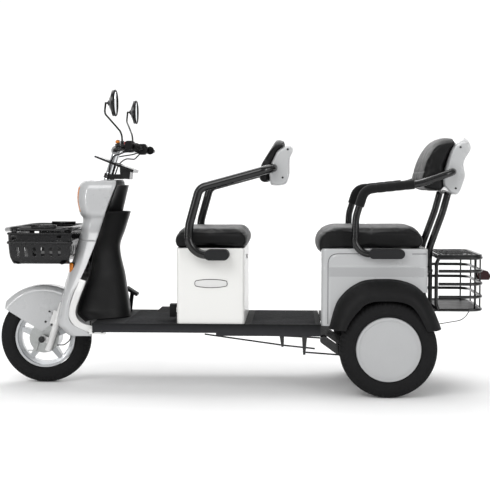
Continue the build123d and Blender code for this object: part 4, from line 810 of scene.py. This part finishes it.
def side_reflectors():
    """Amber reflectors on the shield's shoulders: a rounded prism tile and its black seat."""
    tiles, seats = [], []
    for side in (-1, 1):
        centre = np.array([150.0, side * 146.0, 524.0])
        out = np.array([-0.62, side * 0.78, 0.0])
        along = np.array([side * 0.78, 0.62, 0.0]) * side
        up = np.array([0.0, 0.0, 1.0])
        for scale, lift, target, mat, deep in ((1.0, 2.0, tiles, "amber", 7.0),
                                               (1.14, 0.0, seats, "black_moulding", 5.0)):
            turn = np.linspace(0, 2 * np.pi, 48, endpoint=False)[None]
            rise = np.linspace(-np.pi / 2, np.pi / 2, 16)[:, None]
            ring = np.abs(np.cos(rise)) ** 0.35
            a = 12 * scale * ring * np.sign(np.cos(turn)) * np.abs(np.cos(turn)) ** 0.45
            b = 22 * scale * ring * np.sign(np.sin(turn)) * np.abs(np.sin(turn)) ** 0.45
            c = deep * np.sign(np.sin(rise)) * np.abs(np.sin(rise)) ** 0.4 + lift + 0 * turn
            place = centre + a[..., None] * along + b[..., None] * up + c[..., None] * out
            target.append(surface("tile", mm(place[..., 0], place[..., 1], place[..., 2]), "chassis", MAT[mat],
                                  wrap_columns=True, caps=True))
    merge("side_reflectors", tiles)
    merge("side_reflector_seats", seats)


def box_mesh(name, x, y, z, body, material):
    """Plain box between limits in mm, its edges rounded by 1.2 mm."""
    corners = [mm(a, b, c) for a in x for b in y for c in z]
    faces = [(0, 1, 3, 2), (4, 6, 7, 5), (0, 4, 5, 1), (2, 3, 7, 6), (0, 2, 6, 4), (1, 5, 7, 3)]
    obj = new_object(name, np.array(corners), faces, body, material)
    outward(obj)
    round_off = obj.modifiers.new("edge", "BEVEL")
    round_off.width = 0.0012
    round_off.segments = 3
    return obj


# ---- panels, baskets and trim of the front and rear -----------------------------------------------
LEG = [(297.6, 222, 224, 376, 118), (340, 186, 224, 374, 112), (428, 208, 216, 361, 100), (478, 227, 200, 354, 92),
       (607, 244, 137, 331, 70), (690, 270, 128, 356, 78), (764, 295, 122, 379, 84)]
COLUMN = [(764, 296, 116, 344, 60), (882, 339, 116, 372, 60)]


def knee_rows(table, heights, flat):
    """Panel facing the rider: x = edge + (hump - edge) exp(-|y / width|^flat), y by a sine towards both edges."""
    rows = smooth_rows(table, heights)
    edge, half, hump, width = (rows[:, k][:, None] for k in range(4))
    y = half * np.sin(np.linspace(-np.pi / 2, np.pi / 2, 91))[None]
    x = edge + (hump - edge) * np.exp(-np.abs(y / width) ** flat)
    tip = np.exp(-np.abs(half / width) ** flat)
    x = edge + (x - edge - (hump - edge) * tip) / (1 - tip)
    return mm(x, y, heights[:, None] + 0 * x)


def make_knee_panel(sizes):
    """Smooth black panel before the driver's knees, with the open glove pocket and the steering column's cover."""
    low = surface("knee_skin", knee_rows(LEG, np.linspace(297.6, 764, 120), 3.2), "chassis", MAT["knee"], thick=3.0)
    high = surface("column_skin", knee_rows(COLUMN, np.linspace(764, 882, 30), 2.6), "chassis", MAT["knee"],
                   thick=3.0)
    ring = knee_rows(LEG, np.array([764.0, 764.1]), 3.2)[0]
    rim = tube("pocket_rim", ring, 2.6, "chassis", MAT["knee"], around=12)
    panel = merge("knee_panel", [low, high, rim])
    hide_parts("inner_leg_panel")


BAND_LINE = np.array([(206, 478), (196, 445), (180, 405), (167, 366), (162, 338), (169, 311), (187, 289),
                      (214, 274), (250, 267)], float)


def make_trim(sizes):
    """White bands along the shield's edges: a shallow crowned strip of 32 mm that curves into the floor board."""
    strips = []
    line = even(rounded_line(BAND_LINE, 30, 8), 110)
    along = np.gradient(line, axis=0)
    along /= np.linalg.norm(along, axis=1)[:, None]
    across = np.stack([-along[:, 1], along[:, 0]], axis=1)
    t = np.linspace(-1, 1, 17)[None]
    crown = 5.0 * (1 - np.abs(t) ** 4) ** 0.5
    for side in (-1, 1):
        x = line[:, :1] + across[:, :1] * t * 16
        z = line[:, 1:] + across[:, 1:] * t * 16
        edge = np.interp(z, [250, 330, 428, 478], [229, 229.5, 219, 203])
        strips.append(surface("trim", mm(x, side * (edge - 2.4 + crown), z), "chassis", MAT["white_trim"],
                              thick=2.5))
    trim = merge("shield_bands", strips)
    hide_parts("shield_trim")


TUB = [(545, -40), (546, -33), (549, -25), (554, -18), (562, -11.5), (574, -6.5), (592, -3), (628, 0), (632, 1),
       (633, 7), (639, 7),
       (640, 0), (672, 1), (673, 6), (678, 6)]


def tub_plan(count):
    """Rounded plan of the basket, bowed at the front and hollowed at the rear, with its outward direction."""
    front, rear, half = -112.0, 156.0, 200.0
    y = np.linspace(-half, half, 25)
    back = np.stack([rear - 32 * (1 - (y / half) ** 2), y], axis=1)
    nose = np.stack([front - 12 * (1 - (y[::-1] / half) ** 2), y[::-1]], axis=1)
    outline = np.concatenate([back, nose, back[:1]])
    line = even(rounded_line(outline, 34, 10), count, closed=True)
    along = np.roll(line, -1, axis=0) - np.roll(line, 1, axis=0)
    along /= np.linalg.norm(along, axis=1)[:, None]
    return line, np.stack([along[:, 1], -along[:, 0]], axis=1)


def make_front_basket(sizes):
    """Moulded basket: a rounded tub with slots, windows, a rolled lip and the rail over it."""
    line, out = tub_plan(440)
    table = np.array(TUB, float)
    share = np.linspace(0, 1, 96)
    key = np.concatenate([[0], np.cumsum(np.hypot(np.diff(table[:, 0]), np.diff(table[:, 1])))])
    z = np.interp(share * key[-1], key, table[:, 0])[:, None]
    grow = np.interp(share * key[-1], key, table[:, 1])[:, None]
    x = line[:, 0][None] + out[:, 0][None] * grow
    y = line[:, 1][None] + out[:, 1][None] * grow
    points = mm(x, y, z + 0 * x)
    closed = np.concatenate([points, points[:, :1]], axis=1)
    mid = cell_centres(closed) * 1000
    cx, cy, cz = mid[..., 0] + AXLE_X * 1000, mid[..., 1], mid[..., 2]
    side = np.abs(cy) > 186
    slots = side & (np.abs((cx + 74 + 18) % 36 - 18) < 6.4) & (cx > -84) & (cx < 116) & (cz > 577) & (cz < 616)
    slots |= ~side & (np.abs((cy + 24) % 48 - 24) < 6) & (np.abs(cy) < 156) & (cz > 580) & (cz < 612)
    windows = side & (((cx > -100) & (cx < -78)) | ((cx > 96) & (cx < 118))) & (cz > 645) & (cz < 668)
    tub = cut_surface("tub", closed, ~(slots | windows), "chassis", MAT["basket"], 2.6)
    floor_line, floor_out = tub_plan(200)
    inner = floor_line - floor_out * 39.5
    centre = inner.mean(axis=0)
    spread = np.linspace(0, 1, 12)[:, None, None]
    base = centre + (inner - centre)[None] * spread
    bottom = surface("tub_floor", mm(base[..., 0], base[..., 1], 545.4), "chassis", MAT["basket"],
                     wrap_columns=True, thick=2.6)
    half = 200.0
    ring_points = [(150, -half, 694), (-90, -half, 697), (-162, -60, 685), (-162, 60, 685), (-90, half, 697),
                   (150, half, 694),
                   (150, -half, 694)]
    ring_line = even(rounded_line(np.array(ring_points, float), 42, 12), 260, closed=True)
    ring_line = np.concatenate([ring_line, ring_line[:1]])
    ring = tube("rail", mm(ring_line[:, 0], ring_line[:, 1], ring_line[:, 2]), 7.6, "chassis", MAT["black_tube"],
                around=20, caps=False)
    parts = [tub, bottom, ring]
    for s in (-1, 1):
        for px in (-88, 120):
            parts.append(box_mesh("prop", (px - 9, px + 9), sorted((s * 196, s * 205)), (674, 696), "chassis",
                                  MAT["basket"]))
        parts.append(box_mesh("pad", (-12, 92), sorted((s * 188, s * 212)), (701, 711), "chassis", MAT["basket"]))
    basket = merge("carrier_basket", parts)
    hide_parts("front_basket")


def make_rear_basket(sizes):
    """Cage of five bent hoops on a pressed floor plate, with its posts and the lamp bar."""
    front, rear, half, low, high, r = 1718.0, 1905.0, 199.0, 356.0, 575.0, 6.6
    parts = []
    for k in range(5):
        z = low + (high - low) * k / 4
        plan = np.array([(front, -half), (rear, -half), (rear, half), (front, half)], float)
        line = even(rounded_line(plan, 66, 16), 150)
        parts.append(tube("hoop", mm(line[:, 0], line[:, 1], z), r, "chassis", MAT["black_tube"], around=16))
    for s in (-1, 1):
        post = np.array([(front, s * half, high), (front - 10, s * half, high - 22),
                         (front - 10, s * half, low + 22),
                         (front, s * half, low)], float)
        line = even(rounded_line(post, 16, 8), 60)
        parts.append(tube("post", mm(line[:, 0], line[:, 1], line[:, 2]), 7.6, "chassis", MAT["black_tube"],
                          around=16))
        for px, py in ((rear - 34, half - 10), (rear, half - 80)):
            wire = np.array([(px, s * py, low), (px, s * py, high)], float)
            parts.append(tube("wire", mm(wire[:, 0], wire[:, 1], wire[:, 2]), 3.4, "chassis", MAT["black_tube"],
                              around=12))
    plan = np.array([(front - 6, -half + 3), (rear - 3, -half + 3), (rear - 3, half - 3), (front - 6, half - 3),
                     (front - 6, -half + 3)], float)
    outline = even(rounded_line(plan, 60, 14), 220, closed=True)
    centre = outline.mean(axis=0)
    t = np.concatenate([np.linspace(0, 0.93, 14), [0.95, 0.975, 1.0]])[:, None, None]
    flat = centre + (outline - centre)[None] * t
    dish = np.where(t[..., 0] > 0.94, 3.0, 0.0)
    parts.append(surface("floor_plate", mm(flat[..., 0], flat[..., 1], 355.0 + dish + 0 * flat[..., 0]), "chassis",
                         MAT["knee"],
                         wrap_columns=True, thick=2.0))
    for bx, bz, br in ((front - 10, low + 6, 5.5), (front, high, 5.5)):
        bar = np.array([(bx, -half, bz), (bx, half, bz)], float)
        parts.append(tube("bar", mm(bar[:, 0], bar[:, 1], bar[:, 2]), br, "chassis", MAT["black_tube"], around=16))
    lamp_bar = np.array([(rear + 1, 0, low), (rear + 1, 0, high)], float)
    parts.append(tube("lamp_bar", mm(lamp_bar[:, 0], lamp_bar[:, 1], lamp_bar[:, 2]), 5, "chassis",
                      MAT["black_tube"], around=16))
    stay = even(rounded_line(np.array([(1862, -150, low), (1832, -150, 308), (1728, -150, 290)], float), 34, 12),
                60)
    parts.append(tube("stay", mm(stay[:, 0], stay[:, 1], stay[:, 2]), 2.0, "chassis", MAT["black_tube"], around=10))
    cage = merge("carrier_cage", parts)
    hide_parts("rear_basket")


def make_mirror_rims(sizes):
    """Black rolled rim and silvered glass of each mirror."""
    for side, body, word in ((-1, "left_glass", "left"), (1, "right_glass", "right")):
        turn = np.linspace(0, 2 * np.pi, 97)
        circle = mm(367.5, side * 292 + 50.2 * np.cos(turn), 1222 + 50.2 * np.sin(turn))
        tube(word + "_mirror_rim", circle, 4.8, body, MAT["black_moulding"], around=16, caps=False)
        glass = lathe(word + "_mirror_glass", [(0, 0), (0, 47.5), (0.4, 47.5), (0.6, 47.0), (0.6, 0)],
                      mm(368.8, side * 292, 1222), (1, 0, 0), body, MAT["mirror"], 72)


# ---- rear bodywork ------------------------------------------------------------------------------
def make_rear_body(sizes):
    """Rounded rear body with its raised side panels, darker band and black screws."""
    plan = np.array([(1223, -250), (1668, -250), (1668, 250), (1223, 250), (1223, -250)], float)
    line = even(rounded_line(plan, 26, 10), 420, closed=True)
    x, y = line[:, 0], line[:, 1]
    low = 292 + (433 - 292) * np.clip((x - 1604) / 22, 0, 1)
    rise = np.concatenate([np.linspace(0, 1, 90) * 0.965,
                           0.965 + 0.035 * np.sin(np.linspace(0, np.pi / 2, 9)[1:])])[:, None]
    z = low[None] + (617.0 - low[None]) * rise
    tuck = 7.0 * (1 - np.sqrt(np.clip(1 - np.clip((z - 608) / 9, 0, 1) ** 2, 0, 1)))
    centre_x = np.clip(x, 1223 + 30, 1668 - 30)
    centre_y = np.clip(y, -220, 220)
    nx, ny = x - centre_x, y - centre_y
    size = np.maximum(np.hypot(nx, ny), 1e-6)
    nx, ny = (nx / size)[None], (ny / size)[None]
    edges = np.broadcast_arrays((x[None] - 1253) / 4, (1642 - x[None]) / 5, (z - 318) / 5, (594 - z) / 4)
    inside = np.clip(np.minimum.reduce(edges), 0, 1)
    corner = np.hypot(np.clip(1297 - x[None], 0, None), np.clip(z - 550, 0, None))
    inside = inside * np.clip((44 - corner) / 5, 0, 1)
    lift = 2.6 * (3 * inside ** 2 - 2 * inside ** 3) * (np.abs(y[None]) > 240)
    groove = 2.2 * np.exp(-((z - 541) / 1.8) ** 2)
    out = lift - groove - tuck
    points = mm(x[None] + nx * out, y[None] + ny * out, z)
    skin = surface("rear_body_skin", points, "chassis", MAT["panel"], wrap_columns=True, thick=2.6)
    # Second slot: the darker lacquer that paints a reflection stripe on the sides.
    skin.data.materials.append(MAT["panel_dark"])
    centres = np.empty(len(skin.data.polygons) * 3)
    skin.data.polygons.foreach_get("center", centres)
    centres = centres.reshape(-1, 3)
    # Side faces between 499 and 540 mm high take the darker lacquer: a painted reflection stripe.
    painted_reflection_stripe = (centres[:, 2] > 0.499) & (centres[:, 2] < 0.5395) & (np.abs(centres[:, 1]) > 0.2492)
    painted_reflection_stripe &= (centres[:, 0] + AXLE_X > 1.256) & (centres[:, 0] + AXLE_X < 1.666)
    skin.data.polygons.foreach_set("material_index", painted_reflection_stripe.astype(np.int32))
    flange_in = 26.0
    inner_x, inner_y = x - nx[0] * flange_in, y - ny[0] * flange_in
    share = np.linspace(0, 1, 5)[:, None]
    rim = mm((x[None] - nx * 7) * (1 - share) + inner_x[None] * share,
             (y[None] - ny * 7) * (1 - share) + inner_y[None] * share,
             616.8 + 0 * share * x[None])
    flange = surface("rear_body_flange", rim, "chassis", MAT["panel"], wrap_columns=True, thick=2.4)
    body = merge("rear_body_shell", [skin, flange])
    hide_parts("rear_body")
    lines = []
    path = np.array([(1251, 300), (1251, 596), (1400, 596)], float)
    line = even(rounded_line(path, 44, 16), 120)
    for side in (-1, 1):
        lines.append(tube("seam", mm(line[:, 0], side * 249.6, line[:, 1]), 1.5, "chassis", MAT["seam"], around=8))
    back = even(np.array([(1600, 596), (1660, 596)], float), 20)
    for side in (-1, 1):
        lines.append(tube("seam", mm(back[:, 0], side * 249.6, back[:, 1]), 1.5, "chassis", MAT["seam"], around=8))
    merge("rear_body_panel_lines", lines)


ROOT = np.array([(1256, 284), (1272, 350), (1290, 402), (1336, 453), (1391, 484), (1436, 491), (1536, 492),
                 (1612, 469), (1662, 422),
                 (1698, 353), (1724, 284)], float)
LIP = np.array([(1310, 284), (1324, 320), (1352, 360), (1392, 403), (1430, 417), (1480, 420), (1544, 418),
                (1598, 400), (1633, 356),
                (1656, 310), (1668, 284)], float)


def make_flares(sizes):
    """Mudguards: the inner arch line slides to the outer lip along a quarter curve, then turns in by 12 mm."""
    root = even(rounded_line(ROOT, 40, 10), 150)
    lip = even(rounded_line(LIP, 40, 10), 150)
    for side, word in ((-1, "left"), (1, "right")):
        t = np.linspace(0, 1, 26)[:, None, None]
        bulge = np.sin(t * np.pi / 2) ** 1.15
        flat = root[None] + (lip - root)[None] * (1 - np.cos(t * np.pi / 2)) ** 0.9
        y = 250.4 + 93 * bulge
        centre = np.array([1488.0, 284.0])
        fold = np.linspace(0, 1, 6)[1:, None, None]
        inward = lip + (centre - lip) / np.linalg.norm(centre - lip, axis=1)[:, None] * 12
        turned = lip[None] * (1 - fold) + inward[None] * fold
        rows = np.concatenate([flat, turned])
        across = np.concatenate([y, 343.4 + 0 * fold]) * side + 0 * rows[..., :1]
        rib = 1.6 * np.exp(-((np.arange(len(rows)) - 4) / 1.2) ** 2)[:, None]
        rows[..., 1] = np.maximum(rows[..., 1] - rib, 283.5)
        flare = surface(word + "_mudguard", mm(rows[..., 0], across[..., 0], rows[..., 1]), "chassis",
                        MAT["black_moulding"],
                        thick=3.0)
        if side < 0:
            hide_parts("fender_flares")


# ---- touch points -------------------------------------------------------------------------------
def make_grips(sizes):
    """Handlebar grips with 21 shallow rings and an end flange, and foam sleeves with finger rings."""
    for side, node_name, body, word in ((-1, "left_grip", "steering", "left"),
                                        (1, "throttle_grip", "throttle", "right")):
        low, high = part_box(node_name)
        low, high = np.array(low), np.array(high)
        middle = (low + high) / 2
        joint = next(j for j in frame["joints"] if j["name"] == "throttle_turn")
        axis = np.array(joint["axis"]) * np.array([1, -side, 1]) * -1.0
        if axis[1] * side < 0:
            axis = -axis
        length = (high[1] - low[1]) / abs(axis[1]) - 0.006
        s = np.linspace(0, 1, 260)
        wave = np.clip(np.sin(s * 2 * np.pi * 21) * 2.5, -1, 1)
        radius = 15.4 + 0.55 * wave * (s > 0.1) * (s < 0.93) + 3.2 * np.exp(-((s - 0.03) / 0.022) ** 4) + 1.0 * (s > 0.95)
        radius[-6:] = radius[-6:] * np.sqrt(np.linspace(1, 0.05, 6))
        path = middle + (s - 0.5)[:, None] * axis * length
        grip = tube(word + "_handle_grip", path, radius, body, MAT["grip"], around=40)
        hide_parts(node_name)
    for side, word in ((-1, "left"), (1, "right")):
        corner = np.array([(1364, 748), (1400, 864), (1628, 888)], float)
        start = corner[0] + (corner[1] - corner[0]) * 0.4
        end = corner[1] + (corner[2] - corner[1]) * 0.9
        line = even(rounded_line(np.stack([start, corner[1], end]), 44, 24), 420)
        s = np.linspace(0, 1, 420)
        rings = np.abs(np.sin(s * np.pi * 7)) ** 0.35
        front = np.clip((0.93 - s) / 0.05, 0, 1) * np.clip((s - 0.30) / 0.05, 0, 1)
        radius = 19.6 - 1.9 * (1 - rings) * front
        radius[:5] = radius[:5] * np.linspace(0.86, 1, 5)
        radius[-5:] = radius[-5:] * np.linspace(1, 0.86, 5)
        path = mm(line[:, 0], side * 268, line[:, 1])
        foam = tube(word + "_foam_sleeve", path, radius, "chassis", MAT["foam"], around=32)
        if side < 0:
            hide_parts("arm_grips")


def make_details(sizes):
    """Screws, blank badge plates, rear springs, bar knobs, floor board plates and the parking lever's boot."""
    heads = []
    fender = frame["nodes"]["front_fender"]
    for x, z in ((27, 322), (9, 277)):
        for side in (-1, 1):
            start = mm(x, side * 200, z)
            hit, place, normal, _ = fender.ray_cast(Vector(start), Vector((0, -side, 0)))
            if hit:
                heads.append(screw("screw", np.array(place), (0, side, 0), 10, "fork_slide", MAT["black_gloss"]))
    merge("mudguard_screws", heads)
    plates = []
    for side in (-1, 1):
        turn = np.linspace(0, 2 * np.pi, 96, endpoint=False)[None]
        rows = np.array([(0.80, 0.3), (0.86, 0.4), (0.90, 1.6), (0.96, 2.0), (1.0, 1.4), (1.0, 0.0)])
        a = 52 * np.sign(np.cos(turn)) * np.clip(np.abs(np.cos(turn)) * 1.25, 0, 1) + 20 * np.cos(turn)
        b = 19 * np.sin(turn)
        px = 759 + a * rows[:, :1]
        pz = 468 + b * rows[:, :1]
        py = side * (240.2 + rows[:, 1:] + 0 * turn)
        plates.append(surface("plate", mm(px, py, pz), "chassis", MAT["white_trim"], wrap_columns=True, caps=True))
    merge("blank_badge_plates", plates)
    borders = []
    for side in (-1, 1):
        turn = np.linspace(0, 2 * np.pi, 121)
        a = 50 * np.sign(np.cos(turn)) * np.clip(np.abs(np.cos(turn)) * 1.25, 0, 1) + 18.5 * np.cos(turn)
        borders.append(tube("border", mm(759 + a, side * 242.0, 468 + 17.5 * np.sin(turn)), 1.3, "chassis",
                            MAT["black_gloss"],
                            around=8, caps=False))
    merge("blank_badge_borders", borders)
    for side, word in ((-1, "left"), (1, "right")):
        s = np.linspace(0, 1, 460)
        angle = s * 2 * np.pi * 8.5
        z = 285 + 165 * s
        coil = mm(REAR_AXLE_X + 24 * np.cos(angle), side * 170 + 24 * np.sin(angle), z)
        spring = tube(word + "_rear_spring", coil, 4.0, None, MAT["black_tube"], around=10)
        tuple(mm(REAR_AXLE_X, side * 170, 275))
        tuple(mm(REAR_AXLE_X, side * 170, 460))
        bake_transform(spring)
    knobs = []
    for side, key in ((-1, "amber"), (1, "red")):
        outline = [(0, 0), (0, 9), (4, 10), (13, 10), (15, 8.6), (15.2, 0)]
        knobs.append(lathe("knob", outline, mm(343, side * 96, 1046), (-0.1, 0, 1), "steering", MAT["black_gloss"],
                           36))
        tip = [(0, 0), (0, 9.8), (8, 9.6), (12, 7), (14, 3), (14.2, 0)]
        knobs.append(lathe("tip", tip, mm(344, side * 96, 1064), (-0.1, 0, 1), "steering", MAT[key], 32))
    merge("handlebar_knobs", knobs)
    bolts, plates = [], []
    for side in (-1, 1):
        plates.append(box_mesh("plate", (240, 312), sorted((side * 243, side * 247)), (249, 274), "chassis",
                               MAT["white_trim"]))
        for x in (259, 297):
            bolts.append(screw("bolt", mm(x, side * 247, 262), (0, side, 0), 12, "chassis", MAT["black_gloss"]))
    merge("floor_board_bolts", bolts)
    merge("floor_board_plates", plates)
    boot = [box_mesh("boot", (572, 600.5), (-142, -98), (314, 368), "chassis", MAT["black_moulding"])]
    merge("parking_lever_boot", boot)
    chromed = []
    for y in (-30, 30):
        chromed.append(screw("bolt", mm(112, y, 657), (-1, 0, 0), 12, "chassis", MAT["chrome"]))
    merge("basket_bolts", chromed)


# ---- floor, light and camera --------------------------------------------------------------------
def area_light(name, energy, size, place, target):
    """Soft rectangular light aimed at a point."""
    data = bpy.data.lights.new(name, "AREA")
    data.shape = "RECTANGLE"
    data.size, data.size_y = size
    data.energy = energy
    lamp = bpy.data.objects.new(name, data)
    bpy.context.scene.collection.objects.link(lamp)
    lamp.location = place
    lamp.rotation_euler = (Vector(target) - Vector(place)).to_track_quat("-Z", "Y").to_euler()


def make_stage(colours):
    """Pale floor that curves up into a backdrop, soft box lights and the fixed camera."""
    y = np.concatenate([np.linspace(-9, 2.6, 24), 2.6 + 1.6 * np.sin(np.linspace(0, np.pi / 2, 16)),
                        np.full(8, 4.2)])
    z = np.concatenate([np.zeros(24), 1.6 * (1 - np.cos(np.linspace(0, np.pi / 2, 16))), np.linspace(1.8, 7, 8)])
    x = np.linspace(-9, 9, 12)[:, None]
    points = np.stack([x + 0 * y, y + 0 * x, z + 0 * x], axis=-1)
    paper = finish("matt_studio_paper", colours.floor, 0.9, tone=0.01, tone_mm=900, spread=0.02)
    mesh = bpy.data.meshes.new("studio_floor")
    mesh.from_pydata(points.reshape(-1, 3).tolist(), [], grid_faces(12, len(y), flip=True))
    mesh.materials.append(paper)
    mesh.shade_smooth()
    floor = bpy.data.objects.new("studio_floor", mesh)
    bpy.context.scene.collection.objects.link(floor)
    area_light("key_light", 98, (3.2, 2.4), (-1.6, -3.6, 3.6), (0, 0, 0.5))
    area_light("fill_light", 42, (3.0, 2.4), (3.2, -3.0, 2.2), (0.2, 0, 0.5))
    area_light("top_light", 62, (3.6, 2.4), (0.2, 0.6, 4.4), (0, 0, 0.4))
    area_light("back_light", 34, (3.0, 2.0), (0.0, 3.4, 2.6), (0, 0, 0.6))
    area_light("left_strip", 26, (0.14, 2.0), (-3.0, -2.6, 1.3), (0, 0, 0.6))
    area_light("right_strip", 16, (0.14, 2.0), (2.6, -3.2, 1.4), (0.3, 0, 0.6))
    area_light("backdrop_light", 60, (6.0, 1.6), (0.0, 2.2, 4.6), (0.0, 4.2, 1.2))
    world = bpy.data.worlds.new("studio")
    world.use_nodes = True
    back = world.node_tree.nodes["Background"]
    back.inputs["Color"].default_value = linear("#FFFFFF")
    back.inputs["Strength"].default_value = 0.42
    bpy.context.scene.world = world
    data = bpy.data.cameras.new("fixed_camera")
    data.lens = 77.1
    camera = bpy.data.objects.new("fixed_camera", data)
    bpy.context.scene.collection.objects.link(camera)
    camera.location = (0.2182, -4.6382, 0.8952)
    camera.rotation_euler = (math.radians(90 - 3.434), 0.0, math.radians(2.558))
    bpy.context.scene.camera = camera
    bpy.context.scene.view_settings.view_transform = "Standard"


# ---- add-on -------------------------------------------------------------------------------------
class TricycleSizes(bpy.types.PropertyGroup):
    """Sizes a user may change."""
    tread_depth: bpy.props.FloatProperty(name="Tread depth", description="Depth of the tyre grooves",
                                         default=0.0032,
                                         min=0.001, max=0.006, unit="LENGTH")
    pressure: bpy.props.FloatProperty(name="Cushion pressure", description="How hard the cushions are stuffed",
                                      default=4.0,
                                      min=0.5, max=8.0)


class TricycleColours(bpy.types.PropertyGroup):
    """Colours a user may change."""
    panel: bpy.props.FloatVectorProperty(name="Panels", description="Lacquer of the body panels", subtype="COLOR",
                                         default=linear("#ABACAD")[:3], min=0, max=1)
    box: bpy.props.FloatVectorProperty(name="Seat box", description="Powder coat of the seat box", subtype="COLOR",
                                       default=linear("#DEDEDC")[:3], min=0, max=1)
    floor: bpy.props.FloatVectorProperty(name="Studio floor", description="Colour of the floor", subtype="COLOR",
                                         default=linear("#FAFAFA")[:3], min=0, max=1)


def piece_operator(key, label, words, work):
    """One operator class that runs one making function."""
    def execute(self, context):
        work(context.scene.tricycle_sizes)
        return {"FINISHED"}
    return type("TRICYCLE_OT_" + key, (bpy.types.Operator,),
                {"__doc__": words, "bl_idname": "tricycle." + key, "bl_label": label, "execute": execute})


class TRICYCLE_OT_finishes(bpy.types.Operator):
    """Makes the materials and gives them to the frame's own parts"""
    bl_idname = "tricycle.finishes"
    bl_label = "Finishes"

    def execute(self, context):
        make_materials(context.scene.tricycle_colours)
        dress_frame()
        return {"FINISHED"}


class TRICYCLE_OT_stage(bpy.types.Operator):
    """Makes the floor, the lights and the camera"""
    bl_idname = "tricycle.stage"
    bl_label = "Stage"

    def execute(self, context):
        make_stage(context.scene.tricycle_colours)
        return {"FINISHED"}


PIECES = (
    piece_operator("wheels", "Wheels", "Makes the tyres and axle nuts", make_wheels),
    piece_operator("front_body", "Front body", "Makes the nacelle, lamp and leg shield", make_front_body),
    piece_operator("knee_panel", "Knee panel", "Makes the panel before the knees", make_knee_panel),
    piece_operator("trim", "Trim bands", "Makes the white bands of the shield", make_trim),
    piece_operator("front_basket", "Front basket", "Makes the carrier basket", make_front_basket),
    piece_operator("rear_basket", "Rear cage", "Makes the rear carrier cage", make_rear_basket),
    piece_operator("mirrors", "Mirrors", "Makes the mirror rims and glasses", make_mirror_rims),
    piece_operator("rear_body", "Rear body", "Makes the rear body shell", make_rear_body),
    piece_operator("flares", "Mudguards", "Makes the rear mudguards", make_flares),
    piece_operator("backs", "Backrest shells", "Makes both backrest shells", make_backs),
    piece_operator("cushions", "Cushions", "Makes the stuffed seats and back pads", make_cushions),
    piece_operator("grips", "Grips", "Makes the handle grips and foam sleeves", make_grips),
    piece_operator("details", "Details", "Makes screws, springs, plates and knobs", make_details),
)


class TRICYCLE_PT_panel(bpy.types.Panel):
    """Lists the tricycle's makers"""
    bl_label = "Tricycle"
    bl_idname = "TRICYCLE_PT_panel"
    bl_space_type = "VIEW_3D"
    bl_region_type = "UI"
    bl_category = "Tricycle"

    def draw(self, context):
        for group in (context.scene.tricycle_sizes, context.scene.tricycle_colours):
            for key in group.__annotations__:
                self.layout.prop(group, key)
        for made in (TRICYCLE_OT_finishes,) + PIECES + (TRICYCLE_OT_stage,):
            self.layout.operator(made.bl_idname)


CLASSES = (TricycleSizes, TricycleColours, TRICYCLE_OT_finishes) + PIECES + (TRICYCLE_OT_stage, TRICYCLE_PT_panel)


def register():
    for made in CLASSES:
        bpy.utils.register_class(made)
    bpy.types.Scene.tricycle_sizes = bpy.props.PointerProperty(type=TricycleSizes)
    bpy.types.Scene.tricycle_colours = bpy.props.PointerProperty(type=TricycleColours)


def unregister():
    del bpy.types.Scene.tricycle_colours
    del bpy.types.Scene.tricycle_sizes
    for made in reversed(CLASSES):
        bpy.utils.unregister_class(made)


def main():
    """Runs every operator in order and writes the two boxes."""
    register()
    bpy.ops.tricycle.finishes()
    bpy.ops.tricycle.wheels()
    bpy.ops.tricycle.front_body()
    bpy.ops.tricycle.knee_panel()
    bpy.ops.tricycle.trim()
    bpy.ops.tricycle.front_basket()
    bpy.ops.tricycle.rear_basket()
    bpy.ops.tricycle.mirrors()
    bpy.ops.tricycle.rear_body()
    bpy.ops.tricycle.flares()
    bpy.ops.tricycle.backs()
    bpy.ops.tricycle.cushions()
    bpy.ops.tricycle.grips()
    bpy.ops.tricycle.details()
    bpy.ops.tricycle.stage()


if __name__ == "__main__":
    main()
